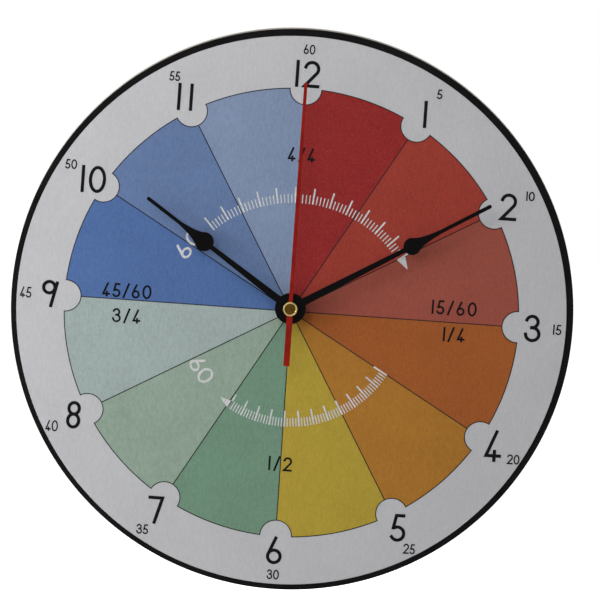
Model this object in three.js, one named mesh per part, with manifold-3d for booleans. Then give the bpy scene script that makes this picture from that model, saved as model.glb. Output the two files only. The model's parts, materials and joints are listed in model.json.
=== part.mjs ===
// A teaching wall clock: a round board with a printed paper dial, three hands, and a battery
// movement behind it. The dial faces -Y, +Z runs through 12, and +X lies to the reader's right.
// The origin is on the hands' axis, in the plane of the wall that the movement's back touches.
// All sizes are in millimetres, and all angles in degrees.

import * as THREE from "three";
import { mergeVertices } from "three/addons/utils/BufferGeometryUtils.js";
import Module from "manifold-3d";

// Board and dial
const BOARD_DIAMETER = 300;
const BOARD_THICKNESS = 12;
const BOARD_EDGE_BREAK = 0.5;
const BOARD_OFFSET_X = 1;
const BOARD_OFFSET_Z = -1;
const PAPER_DIAMETER = 293.3;
const PAPER_THICKNESS = 0.3;
const PAPER_OFFSET_ON_BOARD_X = -0.35;
const PAPER_OFFSET_ON_BOARD_Z = -0.45;

// Hands: lengths are from the axis
const HAND_THICKNESS = 0.4;
const HAND_BOSS_RADIUS = 8.2;
const HOUR_HAND = {
  tip: 96.4,
  shankAtBoss: 3.95,
  shankAtBulb: 2.55,
  bulbCentre: 58.1,
  bulbRadius: 5.1,
  taperEnd: 74.8,
  tipWidth: 1.95,
};
const MINUTE_HAND = {
  tip: 120.4,
  shankAtBoss: 4.1,
  shankAtBulb: 2.5,
  bulbCentre: 73,
  bulbRadius: 4.6,
  taperEnd: 90.2,
  tipWidth: 2.05,
};
const SECOND_HAND_TIP = 121;
const SECOND_HAND_TAIL = 30.6;
const SECOND_HAND_TIP_WIDTH = 1.75;
const SECOND_HAND_ROOT_WIDTH = 2.2;
const SECOND_HAND_TAIL_WIDTH = 3.3;
const SECOND_HAND_THICKNESS = 0.3;
const SECOND_HAND_EYE_RADIUS = 3;
const SECOND_HEAD_RADIUS = 3.8;
const SECOND_HEAD_THICKNESS = 1;
const SECOND_HEAD_RIM = 0.8;
const SECOND_HEAD_DISH = 0.3;
const SECOND_HEAD_EDGE_BREAK = 0.2;
const SECOND_TUBE_RADIUS = 1.2;
const SECOND_TUBE_LENGTH = 1.5;

// The bulb of a spade hand: where its outline turns into the taper, and how the taper sags
const BULB_SHOULDER_ANGLE = 40;
const WAIST_WIDTH_SHARE = 0.45;
const WAIST_RISE_SHARE = 0.25;
const HAND_TIP_ROUND_SHARE = 0.25;

// Time shown, clockwise from 12
const HOUR_HAND_ANGLE = 303.9;
const MINUTE_HAND_ANGLE = 58.9;
const SECOND_HAND_ANGLE = 0;

// Gaps along the axis, in front of the nut
const BUSH_BEYOND_NUT = 0.8;
const HAND_TO_BUSH = 1;
const HAND_TO_HAND = 1.8;
const PIPE_BEYOND_HAND = 0.5;
const SECOND_TO_MINUTE_HAND = 1.2;

// Fixings between movement and dial
const BUSH_RADIUS = 4;
const BUSH_HOLE_CLEARANCE = 0.25;
const BUSH_FLANGE_RADIUS = 5.6;
const BUSH_FLANGE_THICKNESS = 0.6;
const SEAL_RADIUS = 11;
const SEAL_THICKNESS = 1;
const WASHER_RADIUS = 7;
const WASHER_THICKNESS = 0.6;
const NUT_ACROSS_FLATS = 11;
const NUT_THICKNESS = 2.2;
const HANGER_THICKNESS = 0.8;
const HANGER_WIDTH = 26;
const HANGER_FOOT = 11;
const HANGER_OVER_CASE = 0.5;
const HANGER_FROM_WALL = 0.2;
const HANGER_TAB_WIDTH = 18;
const HANGER_TAB_HEIGHT = 20;
const HANGER_CORNER = 4;
const KEYHOLE_RADIUS = 4;
const KEYHOLE_HEIGHT = 7;
const KEYHOLE_SLOT_WIDTH = 4.4;
const KEYHOLE_SLOT_RISE = 6.5;

// Movement case: its outer sizes follow from the battery, the train and the circuit
const CASE_WALL = 1.2;
const CASE_CORNER = 2;
const CASE_FOOT_WALL = 1;
const COVER_THICKNESS = 1.2;
const COVER_LIP_THICKNESS = 0.8;
const COVER_LIP_DEPTH = 1.2;
const COVER_GAP = 0.15;
const BRIDGE_TO_PARTITION = 1.5;
const STATOR_TO_WALL = 1;
const BRIDGE_POST_RADIUS = 1.5;
const BRIDGE_TIP_RADIUS = 0.7;
const BRIDGE_TIP_PROUD = 0.3;
const BRIDGE_THICKNESS = 1;
const BRIDGE_MARGIN = 2.4;
const BRIDGE_TO_KNOB = 0.7;
const POST_CLEARANCE = 0.3;
const PIVOT_BOSS_WALL = 0.75;
const PIVOT_BOSS_HEIGHT = 0.7;
const PIVOT_DEPTH = 0.5;

// Battery, one AA cell, and its contacts
const BATTERY_RADIUS = 7.1;
const BATTERY_LENGTH = 50.3;
const BATTERY_NUB_RADIUS = 2.65;
const BATTERY_NUB_LENGTH = 1.2;
const BATTERY_EDGE_BREAK = 0.5;
const BAY_CLEARANCE = 0.2;
const BATTERY_BELOW_BACK = 0.7;
const CONTACT_THICKNESS = 0.3;
const CONTACT_WIDTH = 4;
const CONTACT_BELOW_BATTERY_AXIS = 4.3;
const CONTACT_TO_NUB = 0.3;
const LEAF_TO_CELL = 0.45;
const LEAF_BULGE = 2.25;
const LEAF_HALF_SPAN = 4.3;
const CONTACT_NOTCH_CLEARANCE = 0.3;
const CONTACT_OVER_CIRCUIT = 1.2;

// Circuit
const CIRCUIT_THICKNESS = 1;
const CIRCUIT_HEIGHT = 10.2;
const CIRCUIT_SIDE_GAP = 0.2;
const CIRCUIT_TOP_GAP = 0.3;
const CIRCUIT_POST_RADIUS = 1.5;
const CIRCUIT_POST_SHARES = [
  { across: 0.45, up: 0.7 },
  { across: 0.85, up: 0.3 },
];
const CHIP_WIDTH = 6;
const CHIP_HEIGHT = 4.5;
const CHIP_THICKNESS = 1.2;
const CHIP_X = 6;
const CRYSTAL_RADIUS = 1;
const CRYSTAL_LENGTH = 6;
const CRYSTAL_X = 14;
const SOLDER_GAP = 0.05;

// Coil, its core and the stator
const COIL_RADIUS = 3.2;
const BOBBIN_LENGTH = 11;
const BOBBIN_FLANGE_THICKNESS = 0.7;
const BOBBIN_FLANGE_HALF = 3.4;
const BOBBIN_WALL = 0.5;
const COIL_ABOVE_POST = 4.25;
const CORE_WIDTH = 2.2;
const CORE_THICKNESS = 0.8;
const STATOR_THICKNESS = 0.8;
const STATOR_ARM_WIDTH = 2.6;
const STATOR_YOKE_WIDTH = 3;
const STATOR_EYE_RADIUS = 5.2;
const STATOR_AIR_GAP = 0.4;
const STATOR_TO_ARBOR = 0.3;

// Wheels: tooth counts, distances between axes, and the ways the axes lie round the centre
const ROTOR_PINION_TEETH = 8;
const INTERMEDIATE_WHEEL_TEETH = 40;
const INTERMEDIATE_PINION_TEETH = 8;
const SECOND_WHEEL_TEETH = 48;
const SECOND_PINION_TEETH = 8;
const THIRD_WHEEL_TEETH = 60;
const THIRD_PINION_TEETH = 8;
const CENTRE_WHEEL_TEETH = 64;
const CANNON_TEETH = 10;
const MOTION_WHEEL_TEETH = 30;
const MOTION_PINION_TEETH = 10;
const HOUR_WHEEL_TEETH = 40;
const KNOB_PINION_TEETH = 10;
const ROTOR_DISTANCE = 6;
const INTERMEDIATE_DISTANCE = 9.4;
const THIRD_DISTANCE = 9.6;
const MOTION_DISTANCE = 9;
const ROTOR_BEARING = 160;
const INTERMEDIATE_BEARING = 160;
const THIRD_BEARING = 75;
const MOTION_BEARING = 10;
const KNOB_BEARING = 20;

// Tooth form, as shares of the module and of the tooth pitch
const ADDENDUM_SHARE = 0.85;
const DEDENDUM_SHARE = 1.2;
const TIP_HALF_SHARE = 0.09;
const ROOT_HALF_SHARE = 0.21;
const KNURL_HALF_SHARE = 0.25;

// Wheels: thicknesses, pipes and arbors
const WHEEL_THICKNESS = 0.8;
const HOUR_WHEEL_THICKNESS = 1.1;
const MOTION_WHEEL_THICKNESS = 1;
const PINION_OVERHANG = 0.1;
const LEVEL_GAP = 0.3;
const TRAIN_LEVEL_GAP = 1;
const CLUTCH_THICKNESS = 0.3;
const CLUTCH_RADIUS = 2.4;
const CLUTCH_GAP = 0.1;
const SPIGOT_RADIUS = 1.2;
const SPIGOT_BEYOND_WHEEL = 0.1;
const HOUR_PIPE_RADIUS = 2.55;
const MINUTE_PIPE_RADIUS = 1.6;
const SECOND_ARBOR_RADIUS = 0.5;
const ARBOR_RADIUS = 0.4;
const RUNNING_CLEARANCE = 0.05;
const PRESS_CLEARANCE = 0.01;
const MOTION_POST_RADIUS = 0.8;
const MAGNET_RADIUS = 2.8;
const MAGNET_LENGTH = 2.2;
const ROTOR_HUB_RADIUS = 0.85;

// Setting knob
const KNOB_RADIUS = 5;
const KNOB_THICKNESS = 2.9;
const KNOB_BELOW_BACK = 0.3;
const KNOB_SHAFT_RADIUS = 1;
const KNOB_HOLE_CLEARANCE = 0.25;
const KNOB_KNURLS = 24;
const KNOB_KNURL_DEPTH = 0.35;
const KNOB_SLOT_WIDTH = 1.4;
const KNOB_SLOT_DEPTH = 0.8;

// Fineness of the round forms, and one overrun for every cut
const BOARD_SIDES = 96;
const PIPE_SIDES = 24;
const ARBOR_SIDES = 12;
const ROUND_SIDES = 32;
const CORNER_STEPS = 4;
const OVERRUN = 1;
const MERGE_DISTANCE = 0.0001;

// The case is as deep as its battery or its train needs
const bayRadius = BATTERY_RADIUS + BAY_CLEARANCE;
const batteryNeeds = 2 * bayRadius + BATTERY_BELOW_BACK;
const motionNeeds = BUSH_FLANGE_THICKNESS + LEVEL_GAP + HOUR_WHEEL_THICKNESS + LEVEL_GAP
  + MOTION_WHEEL_THICKNESS + PINION_OVERHANG;
const clutchNeeds = CLUTCH_GAP + CLUTCH_THICKNESS + CLUTCH_GAP;
const trainNeeds = 4 * WHEEL_THICKNESS + 2 * TRAIN_LEVEL_GAP + 3 * LEVEL_GAP + PINION_OVERHANG;
const knobNeeds = BRIDGE_THICKNESS + BRIDGE_TO_KNOB + KNOB_THICKNESS + KNOB_BELOW_BACK;
const roomDepth = Math.max(batteryNeeds, motionNeeds + clutchNeeds + trainNeeds + knobNeeds);

// Places along the axis: the wall is at zero, and the front is negative
const caseFloor = -roomDepth;
const caseFront = caseFloor - CASE_WALL;
const coverFront = -COVER_THICKNESS;
const hangerFront = caseFront - HANGER_THICKNESS;
const boardBack = hangerFront - SEAL_THICKNESS;
const boardFront = boardBack - BOARD_THICKNESS;
const paperFront = boardFront - PAPER_THICKNESS;
const washerFront = paperFront - WASHER_THICKNESS;
const nutFront = washerFront - NUT_THICKNESS;
const bushFront = nutFront - BUSH_BEYOND_NUT;
const hourHandBack = bushFront - HAND_TO_BUSH;
const hourPipeFront = hourHandBack - HAND_THICKNESS - PIPE_BEYOND_HAND;
const minuteHandBack = hourHandBack - HAND_THICKNESS - HAND_TO_HAND;
const minutePipeFront = minuteHandBack - HAND_THICKNESS - PIPE_BEYOND_HAND;
const secondTubeBack = minuteHandBack - HAND_THICKNESS - SECOND_TO_MINUTE_HAND;
const secondHeadBack = secondTubeBack - SECOND_TUBE_LENGTH;
const secondHeadFront = secondHeadBack - SECOND_HEAD_THICKNESS;

// Levels of the wheels, from the case floor backwards: each name is a wheel's front face
const hourWheelFront = caseFloor + BUSH_FLANGE_THICKNESS + LEVEL_GAP;
const hourWheelBack = hourWheelFront + HOUR_WHEEL_THICKNESS;
const motionWheelFront = hourWheelBack + LEVEL_GAP;
const motionWheelBack = motionWheelFront + MOTION_WHEEL_THICKNESS;
const cannonBack = motionWheelBack + PINION_OVERHANG;
const clutchFront = cannonBack + CLUTCH_GAP;
const centreWheelFront = clutchFront + CLUTCH_THICKNESS + CLUTCH_GAP;
const centreWheelBack = centreWheelFront + WHEEL_THICKNESS;
const thirdWheelFront = centreWheelBack + TRAIN_LEVEL_GAP;
const secondWheelFront = thirdWheelFront + WHEEL_THICKNESS + LEVEL_GAP + LEVEL_GAP;
const intermediateWheelFront = secondWheelFront + WHEEL_THICKNESS + TRAIN_LEVEL_GAP;
const intermediateWheelBack = intermediateWheelFront + WHEEL_THICKNESS;
const bridgeFront = intermediateWheelBack + PINION_OVERHANG + LEVEL_GAP;
const bridgeBack = bridgeFront + BRIDGE_THICKNESS;
const knobBack = -KNOB_BELOW_BACK;
const knobFront = knobBack - KNOB_THICKNESS;

const wasm = await Module();
wasm.setup();

// Geometry helpers

function toSolid(geometry) {
  const bare = geometry.index ? geometry.toNonIndexed() : geometry.clone();
  bare.deleteAttribute("normal");
  bare.deleteAttribute("uv");
  const merged = mergeVertices(bare, MERGE_DISTANCE);
  const mesh = new wasm.Mesh({
    numProp: 3,
    vertProperties: merged.attributes.position.array,
    triVerts: new Uint32Array(merged.index.array),
  });
  return new wasm.Manifold(mesh);
}

function toGeometry(solid) {
  const mesh = solid.getMesh();
  const geometry = new THREE.BufferGeometry();
  geometry.setAttribute("position", new THREE.BufferAttribute(mesh.vertProperties, 3));
  geometry.setIndex(new THREE.BufferAttribute(mesh.triVerts, 1));
  const faceted = geometry.toNonIndexed();
  faceted.computeVertexNormals();
  return faceted;
}

function join(first, ...others) {
  return toGeometry(others.reduce((sum, other) => sum.add(toSolid(other)), toSolid(first)));
}

function cut(first, ...tools) {
  return toGeometry(tools.reduce((rest, tool) => rest.subtract(toSolid(tool)), toSolid(first)));
}

function overlapOf(first, second) {
  return toGeometry(toSolid(first).intersect(toSolid(second)));
}

const radians = THREE.MathUtils.degToRad;

// A point in the plane of the dial, at a distance and a bearing turned from +X towards +Z.
function pointAt(distance, bearing, from = { x: 0, z: 0 }) {
  return {
    x: from.x + distance * Math.cos(radians(bearing)),
    z: from.z + distance * Math.sin(radians(bearing)),
  };
}

function arc(radius, start, end, steps, centre = { x: 0, z: 0 }) {
  const points = [];
  for (let i = 0; i <= steps; i += 1) {
    const place = pointAt(radius, start + ((end - start) * i) / steps, centre);
    points.push(new THREE.Vector2(place.x, place.z));
  }
  return points;
}

function circle(radius, sides, centre = { x: 0, z: 0 }) {
  return arc(radius, 0, 360, sides, centre).slice(0, -1);
}

function box(left, right, foot, top) {
  return [
    new THREE.Vector2(left, foot),
    new THREE.Vector2(right, foot),
    new THREE.Vector2(right, top),
    new THREE.Vector2(left, top),
  ];
}

function roundedBox(left, right, foot, top, radius) {
  return [
    ...arc(radius, 180, 270, CORNER_STEPS, { x: left + radius, z: foot + radius }),
    ...arc(radius, 270, 360, CORNER_STEPS, { x: right - radius, z: foot + radius }),
    ...arc(radius, 0, 90, CORNER_STEPS, { x: right - radius, z: top - radius }),
    ...arc(radius, 90, 180, CORNER_STEPS, { x: left + radius, z: top - radius }),
  ];
}

// The circumradius of a hole with flat sides that clears a round shaft all round.
function holeRadius(shaftRadius, clearance, sides) {
  return (shaftRadius + clearance) / Math.cos(Math.PI / sides);
}

function extrude(outline, depth, holes) {
  const shape = new THREE.Shape(outline);
  shape.holes = holes.map((hole) => new THREE.Path(hole));
  return new THREE.ExtrudeGeometry(shape, { depth, bevelEnabled: false });
}

const ALONG_X = new THREE.Vector3(1, 0, 0);
const ALONG_Y = new THREE.Vector3(0, 1, 0);
const ALONG_Z = new THREE.Vector3(0, 0, 1);
const TO_FRONT = ALONG_Y.clone().negate();

// An outline in X and Z, from its front face to its back face.
function plate(outline, front, back, holes = []) {
  const turn = new THREE.Matrix4().makeBasis(ALONG_X, ALONG_Z, TO_FRONT);
  return extrude(outline, back - front, holes).applyMatrix4(turn).translate(0, back, 0);
}

// An outline in Y and Z, from one X to another.
function bar(outline, left, right, holes = []) {
  const turn = new THREE.Matrix4().makeBasis(ALONG_Y, ALONG_Z, ALONG_X);
  return extrude(outline, right - left, holes).applyMatrix4(turn).translate(left, 0, 0);
}

function disc(radius, sides, front, back, centre, holes = []) {
  return plate(circle(radius, sides, centre), front, back, holes);
}

// A form turned about the hands' axis, from pairs of radius and place along the axis.
function turned(profile, sides) {
  const points = profile.map(([radius, along]) => new THREE.Vector2(radius, along));
  return new THREE.LatheGeometry(points, sides);
}

// Teeth with straight flanks, the first one centred on the given bearing.
function teeth(count, module, bearing, centre) {
  const pitch = 360 / count;
  const tip = (count / 2 + ADDENDUM_SHARE) * module;
  const root = (count / 2 - DEDENDUM_SHARE) * module;
  const points = [];
  for (let i = 0; i < count; i += 1) {
    const middle = bearing + i * pitch;
    const corners = [
      pointAt(root, middle - ROOT_HALF_SHARE * pitch, centre),
      pointAt(tip, middle - TIP_HALF_SHARE * pitch, centre),
      pointAt(tip, middle + TIP_HALF_SHARE * pitch, centre),
      pointAt(root, middle + ROOT_HALF_SHARE * pitch, centre),
    ];
    points.push(...corners.map((corner) => new THREE.Vector2(corner.x, corner.z)));
  }
  return points;
}

// The bearing of a tooth on a wheel that has a gap where its partner's tooth comes in.
function gapBearing(count, towardsPartner) {
  return towardsPartner + 180 / count;
}

// Axes and modules of the wheels

const CENTRE = { x: 0, z: 0 };
const intermediateAxis = pointAt(INTERMEDIATE_DISTANCE, INTERMEDIATE_BEARING);
const rotorAxis = pointAt(ROTOR_DISTANCE, ROTOR_BEARING, intermediateAxis);
const thirdAxis = pointAt(THIRD_DISTANCE, THIRD_BEARING);
const motionAxis = pointAt(MOTION_DISTANCE, MOTION_BEARING);
const knobDistance = (MOTION_DISTANCE * (MOTION_WHEEL_TEETH + KNOB_PINION_TEETH))
  / (CANNON_TEETH + MOTION_WHEEL_TEETH);
const knobAxis = pointAt(knobDistance, KNOB_BEARING, motionAxis);

function moduleOf(distance, teethA, teethB) {
  return (2 * distance) / (teethA + teethB);
}

const rotorModule = moduleOf(ROTOR_DISTANCE, ROTOR_PINION_TEETH, INTERMEDIATE_WHEEL_TEETH);
const secondModule = moduleOf(INTERMEDIATE_DISTANCE, INTERMEDIATE_PINION_TEETH, SECOND_WHEEL_TEETH);
const thirdModule = moduleOf(THIRD_DISTANCE, SECOND_PINION_TEETH, THIRD_WHEEL_TEETH);
const centreModule = moduleOf(THIRD_DISTANCE, THIRD_PINION_TEETH, CENTRE_WHEEL_TEETH);
const cannonModule = moduleOf(MOTION_DISTANCE, CANNON_TEETH, MOTION_WHEEL_TEETH);
const hourModule = moduleOf(MOTION_DISTANCE, MOTION_PINION_TEETH, HOUR_WHEEL_TEETH);

// Posts of the bridge: each stands as near as it can to two pieces that it has to clear

// The place at given distances from two axes, to one side of the line between them.
function placeAt(first, fromFirst, second, fromSecond, side) {
  const between = new THREE.Vector2(second.x - first.x, second.z - first.z);
  const length = between.length();
  const along = (fromFirst ** 2 - fromSecond ** 2 + length ** 2) / (2 * length);
  const across = side * Math.sqrt(fromFirst ** 2 - along ** 2);
  const unit = between.normalize();
  return {
    x: first.x + along * unit.x - across * unit.y,
    z: first.z + along * unit.y + across * unit.x,
  };
}

function postReach(radius) {
  return radius + POST_CLEARANCE + BRIDGE_POST_RADIUS;
}

function tipRadius(count, module) {
  return (count / 2 + ADDENDUM_SHARE) * module;
}

const coreRight = intermediateAxis.x - ARBOR_RADIUS - STATOR_TO_ARBOR;
const bobbinRight = coreRight - STATOR_ARM_WIDTH;
const bobbinLeft = bobbinRight - BOBBIN_LENGTH;
const coreLeft = bobbinLeft - STATOR_ARM_WIDTH;
const eyeReach = postReach(STATOR_EYE_RADIUS);
const intermediateReach = postReach(tipRadius(INTERMEDIATE_WHEEL_TEETH, rotorModule));
const motionReach = postReach(tipRadius(MOTION_WHEEL_TEETH, cannonModule));
const centreReach = postReach(tipRadius(CENTRE_WHEEL_TEETH, centreModule));
const thirdReach = postReach(tipRadius(THIRD_WHEEL_TEETH, thirdModule));
const besideArm = bobbinRight - POST_CLEARANCE - BRIDGE_POST_RADIUS;
const postByEye = placeAt(rotorAxis, eyeReach, intermediateAxis, intermediateReach, -1);
const postBelowCentre = placeAt(CENTRE, centreReach, motionAxis, motionReach, -1);
const postByThird = placeAt(motionAxis, motionReach, thirdAxis, thirdReach, -1);
const postByArm = {
  x: besideArm,
  z: rotorAxis.z + Math.sqrt(eyeReach ** 2 - (besideArm - rotorAxis.x) ** 2),
};
const bridgePosts = [postByEye, postBelowCentre, postByThird, postByArm];

// Places across the case, from the bridge outwards

const roomFoot = postBelowCentre.z - BRIDGE_MARGIN - BRIDGE_TO_PARTITION;
const bayTop = roomFoot - CASE_WALL;
const bayFoot = bayTop - 2 * bayRadius;
const caseFoot = bayFoot - CASE_FOOT_WALL;
const batteryZ = (bayFoot + bayTop) / 2;
const batteryY = caseFloor + bayRadius;
const bayWidth = CONTACT_THICKNESS + CONTACT_TO_NUB + BATTERY_LENGTH + LEAF_TO_CELL + LEAF_BULGE;
const bayHalfWidth = bayWidth / 2;
const roomHalfWidth = Math.max(bayHalfWidth, STATOR_TO_WALL - coreLeft);
const caseHalfWidth = roomHalfWidth + CASE_WALL;
const coilZ = postByArm.z + BRIDGE_POST_RADIUS + COIL_ABOVE_POST + BOBBIN_FLANGE_HALF;
const circuitFoot = coilZ - CIRCUIT_HEIGHT / 2;
const circuitTop = coilZ + CIRCUIT_HEIGHT / 2;
const circuitHalfWidth = bayHalfWidth - CONTACT_THICKNESS - CIRCUIT_SIDE_GAP;
const roomTop = circuitTop + CIRCUIT_TOP_GAP;
const caseTop = roomTop + CASE_WALL;

// Places along the axis of the stator, the coil and the circuit

const statorFront = motionWheelFront;
const statorBack = statorFront + STATOR_THICKNESS;
const coreBack = statorBack + CORE_THICKNESS;
const coilY = (statorBack + coreBack) / 2;
const circuitFront = coilY + BOBBIN_FLANGE_HALF;
const circuitBack = circuitFront + CIRCUIT_THICKNESS;

// Finishes, as colour, roughness and metalness

function finish(color, roughness, metalness) {
  return () => new THREE.MeshStandardMaterial({ color, roughness, metalness });
}

const BLACK_BOARD = finish(0x161516, 0.6, 0);
const PAPER = finish(0xd9d9dc, 0.9, 0);
const BLACK_PAINT = finish(0x0c0c0d, 0.55, 0.1);
const RED_PAINT = finish(0x96190f, 0.5, 0.1);
const BRASS = finish(0xb99544, 0.3, 1);
const STEEL = finish(0xa9abb0, 0.35, 1);
const SOFT_IRON = finish(0x6f7074, 0.45, 1);
const RUBBER = finish(0x1c1c1c, 0.9, 0);
const CASE_PLASTIC = finish(0x1a1b1d, 0.55, 0);
const BRIDGE_PLASTIC = finish(0xd8d6cf, 0.5, 0);
const WHEEL_PLASTIC = finish(0xe6e4da, 0.5, 0);
const CIRCUIT = finish(0x2f6b3c, 0.5, 0);
const CHIP = finish(0x111111, 0.4, 0);
const COPPER = finish(0x9c5428, 0.35, 1);
const MAGNET = finish(0x3b3b3e, 0.6, 0.4);
const CELL = finish(0x35393f, 0.35, 0.6);

const clock = new THREE.Group();

function add(name, geometry, material, parent = clock) {
  const mesh = new THREE.Mesh(geometry, material());
  mesh.name = name;
  parent.add(mesh);
  return mesh;
}

// A group turned clockwise, as the reader sees it, about the hands' axis.
function turnedGroup(angle) {
  const group = new THREE.Group();
  group.rotation.y = radians(angle);
  clock.add(group);
  return group;
}

// Board and dial: the hole for the bush lies a little off the board's middle

function dialBoard() {
  const radius = BOARD_DIAMETER / 2;
  const profile = [
    [0, boardFront],
    [radius - BOARD_EDGE_BREAK, boardFront],
    [radius, boardFront + BOARD_EDGE_BREAK],
    [radius, boardBack - BOARD_EDGE_BREAK],
    [radius - BOARD_EDGE_BREAK, boardBack],
    [0, boardBack],
  ];
  const blank = turned(profile, BOARD_SIDES).translate(BOARD_OFFSET_X, 0, BOARD_OFFSET_Z);
  const hole = disc(
    BUSH_RADIUS + BUSH_HOLE_CLEARANCE,
    PIPE_SIDES,
    boardFront - OVERRUN,
    boardBack + OVERRUN,
    CENTRE,
  );
  return cut(blank, hole);
}

function dialPrint() {
  const middle = {
    x: BOARD_OFFSET_X + PAPER_OFFSET_ON_BOARD_X,
    z: BOARD_OFFSET_Z + PAPER_OFFSET_ON_BOARD_Z,
  };
  const hole = circle(BUSH_RADIUS + BUSH_HOLE_CLEARANCE, PIPE_SIDES);
  return disc(PAPER_DIAMETER / 2, BOARD_SIDES, paperFront, boardFront, middle, [hole]);
}

add("dial_board", dialBoard(), BLACK_BOARD);
add("dial_print", dialPrint(), PAPER);

// Fixings: the bush runs from inside the case to the nut in front of the dial

function washer(radius, front, back) {
  const hole = circle(BUSH_RADIUS + BUSH_HOLE_CLEARANCE, PIPE_SIDES);
  return disc(radius, ROUND_SIDES, front, back, CENTRE, [hole]);
}

function threadedBush() {
  const bore = holeRadius(HOUR_PIPE_RADIUS, RUNNING_CLEARANCE, PIPE_SIDES);
  const flangeBack = caseFloor + BUSH_FLANGE_THICKNESS;
  const profile = [
    [bore, bushFront],
    [BUSH_RADIUS, bushFront],
    [BUSH_RADIUS, caseFloor],
    [BUSH_FLANGE_RADIUS, caseFloor],
    [BUSH_FLANGE_RADIUS, flangeBack],
    [bore, flangeBack],
    [bore, bushFront],
  ];
  return turned(profile, PIPE_SIDES);
}

function dialNut() {
  const corners = circle(NUT_ACROSS_FLATS / 2 / Math.cos(Math.PI / 6), 6);
  const hole = circle(holeRadius(BUSH_RADIUS, PRESS_CLEARANCE, PIPE_SIDES), PIPE_SIDES);
  return plate(corners, nutFront, washerFront, [hole]);
}

// The hanger is a bent strip seen from the side, trimmed to its outline seen from the front.
function hanger() {
  const shelfFoot = caseTop + HANGER_OVER_CASE;
  const shelfTop = shelfFoot + HANGER_THICKNESS;
  const tabBack = -HANGER_FROM_WALL;
  const tabFront = tabBack - HANGER_THICKNESS;
  const tabTop = shelfFoot + HANGER_TAB_HEIGHT;
  const side = [
    [hangerFront, -HANGER_FOOT],
    [caseFront, -HANGER_FOOT],
    [caseFront, shelfFoot],
    [tabBack, shelfFoot],
    [tabBack, tabTop],
    [tabFront, tabTop],
    [tabFront, shelfTop],
    [hangerFront, shelfTop],
  ].map(([along, height]) => new THREE.Vector2(along, height));
  const halfTab = HANGER_TAB_WIDTH / 2;
  const halfWidth = HANGER_WIDTH / 2;
  const footX = halfWidth - HANGER_CORNER;
  const footZ = HANGER_CORNER - HANGER_FOOT;
  const tabX = halfTab - HANGER_CORNER;
  const tabZ = tabTop - HANGER_CORNER;
  const face = [
    ...arc(HANGER_CORNER, 180, 270, CORNER_STEPS, { x: -footX, z: footZ }),
    ...arc(HANGER_CORNER, 270, 360, CORNER_STEPS, { x: footX, z: footZ }),
    new THREE.Vector2(halfWidth, shelfTop),
    new THREE.Vector2(halfTab, shelfTop),
    ...arc(HANGER_CORNER, 0, 90, CORNER_STEPS, { x: tabX, z: tabZ }),
    ...arc(HANGER_CORNER, 90, 180, CORNER_STEPS, { x: -tabX, z: tabZ }),
    new THREE.Vector2(-halfTab, shelfTop),
    new THREE.Vector2(-halfWidth, shelfTop),
  ];
  const keyholeZ = shelfTop + KEYHOLE_HEIGHT;
  const slotHalf = KEYHOLE_SLOT_WIDTH / 2;
  const slotAngle = THREE.MathUtils.radToDeg(Math.acos(slotHalf / KEYHOLE_RADIUS));
  const keyhole = [
    ...arc(KEYHOLE_RADIUS, 180 - slotAngle, 360 + slotAngle, 3 * CORNER_STEPS, { x: 0, z: keyholeZ }),
    ...arc(slotHalf, 0, 180, 2 * CORNER_STEPS, { x: 0, z: keyholeZ + KEYHOLE_SLOT_RISE }),
  ];
  const bushHole = circle(BUSH_RADIUS + BUSH_HOLE_CLEARANCE, PIPE_SIDES);
  const strip = bar(side, -halfWidth, halfWidth);
  const front = hangerFront - OVERRUN;
  return overlapOf(strip, plate(face, front, OVERRUN, [keyhole, bushHole]));
}

add("threaded_bush", threadedBush(), BRASS);
add("dial_nut", dialNut(), BRASS);
add("dial_washer", washer(WASHER_RADIUS, washerFront, paperFront), BRASS);
add("rubber_washer", washer(SEAL_RADIUS, boardBack, hangerFront), RUBBER);
add("hanger", hanger(), STEEL);

// Hands

// Half of a spade hand that points to +Z: boss, tapering shank, round bulb, hollow taper, tip.
function spadeHalf(hand) {
  const joinAngle = THREE.MathUtils.radToDeg(Math.asin(hand.shankAtBoss / 2 / HAND_BOSS_RADIUS));
  const bulb = { x: 0, z: hand.bulbCentre };
  const bulbFoot = THREE.MathUtils.radToDeg(Math.acos(hand.shankAtBulb / 2 / hand.bulbRadius));
  const shoulder = pointAt(hand.bulbRadius, BULB_SHOULDER_ANGLE, bulb);
  const waist = {
    x: shoulder.x * WAIST_WIDTH_SHARE,
    z: shoulder.z + (hand.taperEnd - shoulder.z) * WAIST_RISE_SHARE,
  };
  const taper = new THREE.QuadraticBezierCurve(
    new THREE.Vector2(shoulder.x, shoulder.z),
    new THREE.Vector2(waist.x, waist.z),
    new THREE.Vector2(hand.tipWidth / 2, hand.taperEnd),
  );
  const tipCorner = hand.tipWidth * HAND_TIP_ROUND_SHARE;
  return [
    ...arc(HAND_BOSS_RADIUS, -90, 90 - joinAngle, 3 * CORNER_STEPS),
    ...arc(hand.bulbRadius, -bulbFoot, BULB_SHOULDER_ANGLE, 2 * CORNER_STEPS, bulb),
    ...taper.getPoints(CORNER_STEPS).slice(1),
    new THREE.Vector2(hand.tipWidth / 2, hand.tip - tipCorner),
    new THREE.Vector2(tipCorner, hand.tip),
  ];
}

function spadeHand(hand, pipeRadius, back) {
  const half = spadeHalf(hand);
  const mirrored = half.slice(1).reverse().map((point) => new THREE.Vector2(-point.x, point.y));
  const hole = circle(holeRadius(pipeRadius, PRESS_CLEARANCE, PIPE_SIDES), PIPE_SIDES);
  return plate([...half, ...mirrored], back - HAND_THICKNESS, back, [hole]);
}

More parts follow.
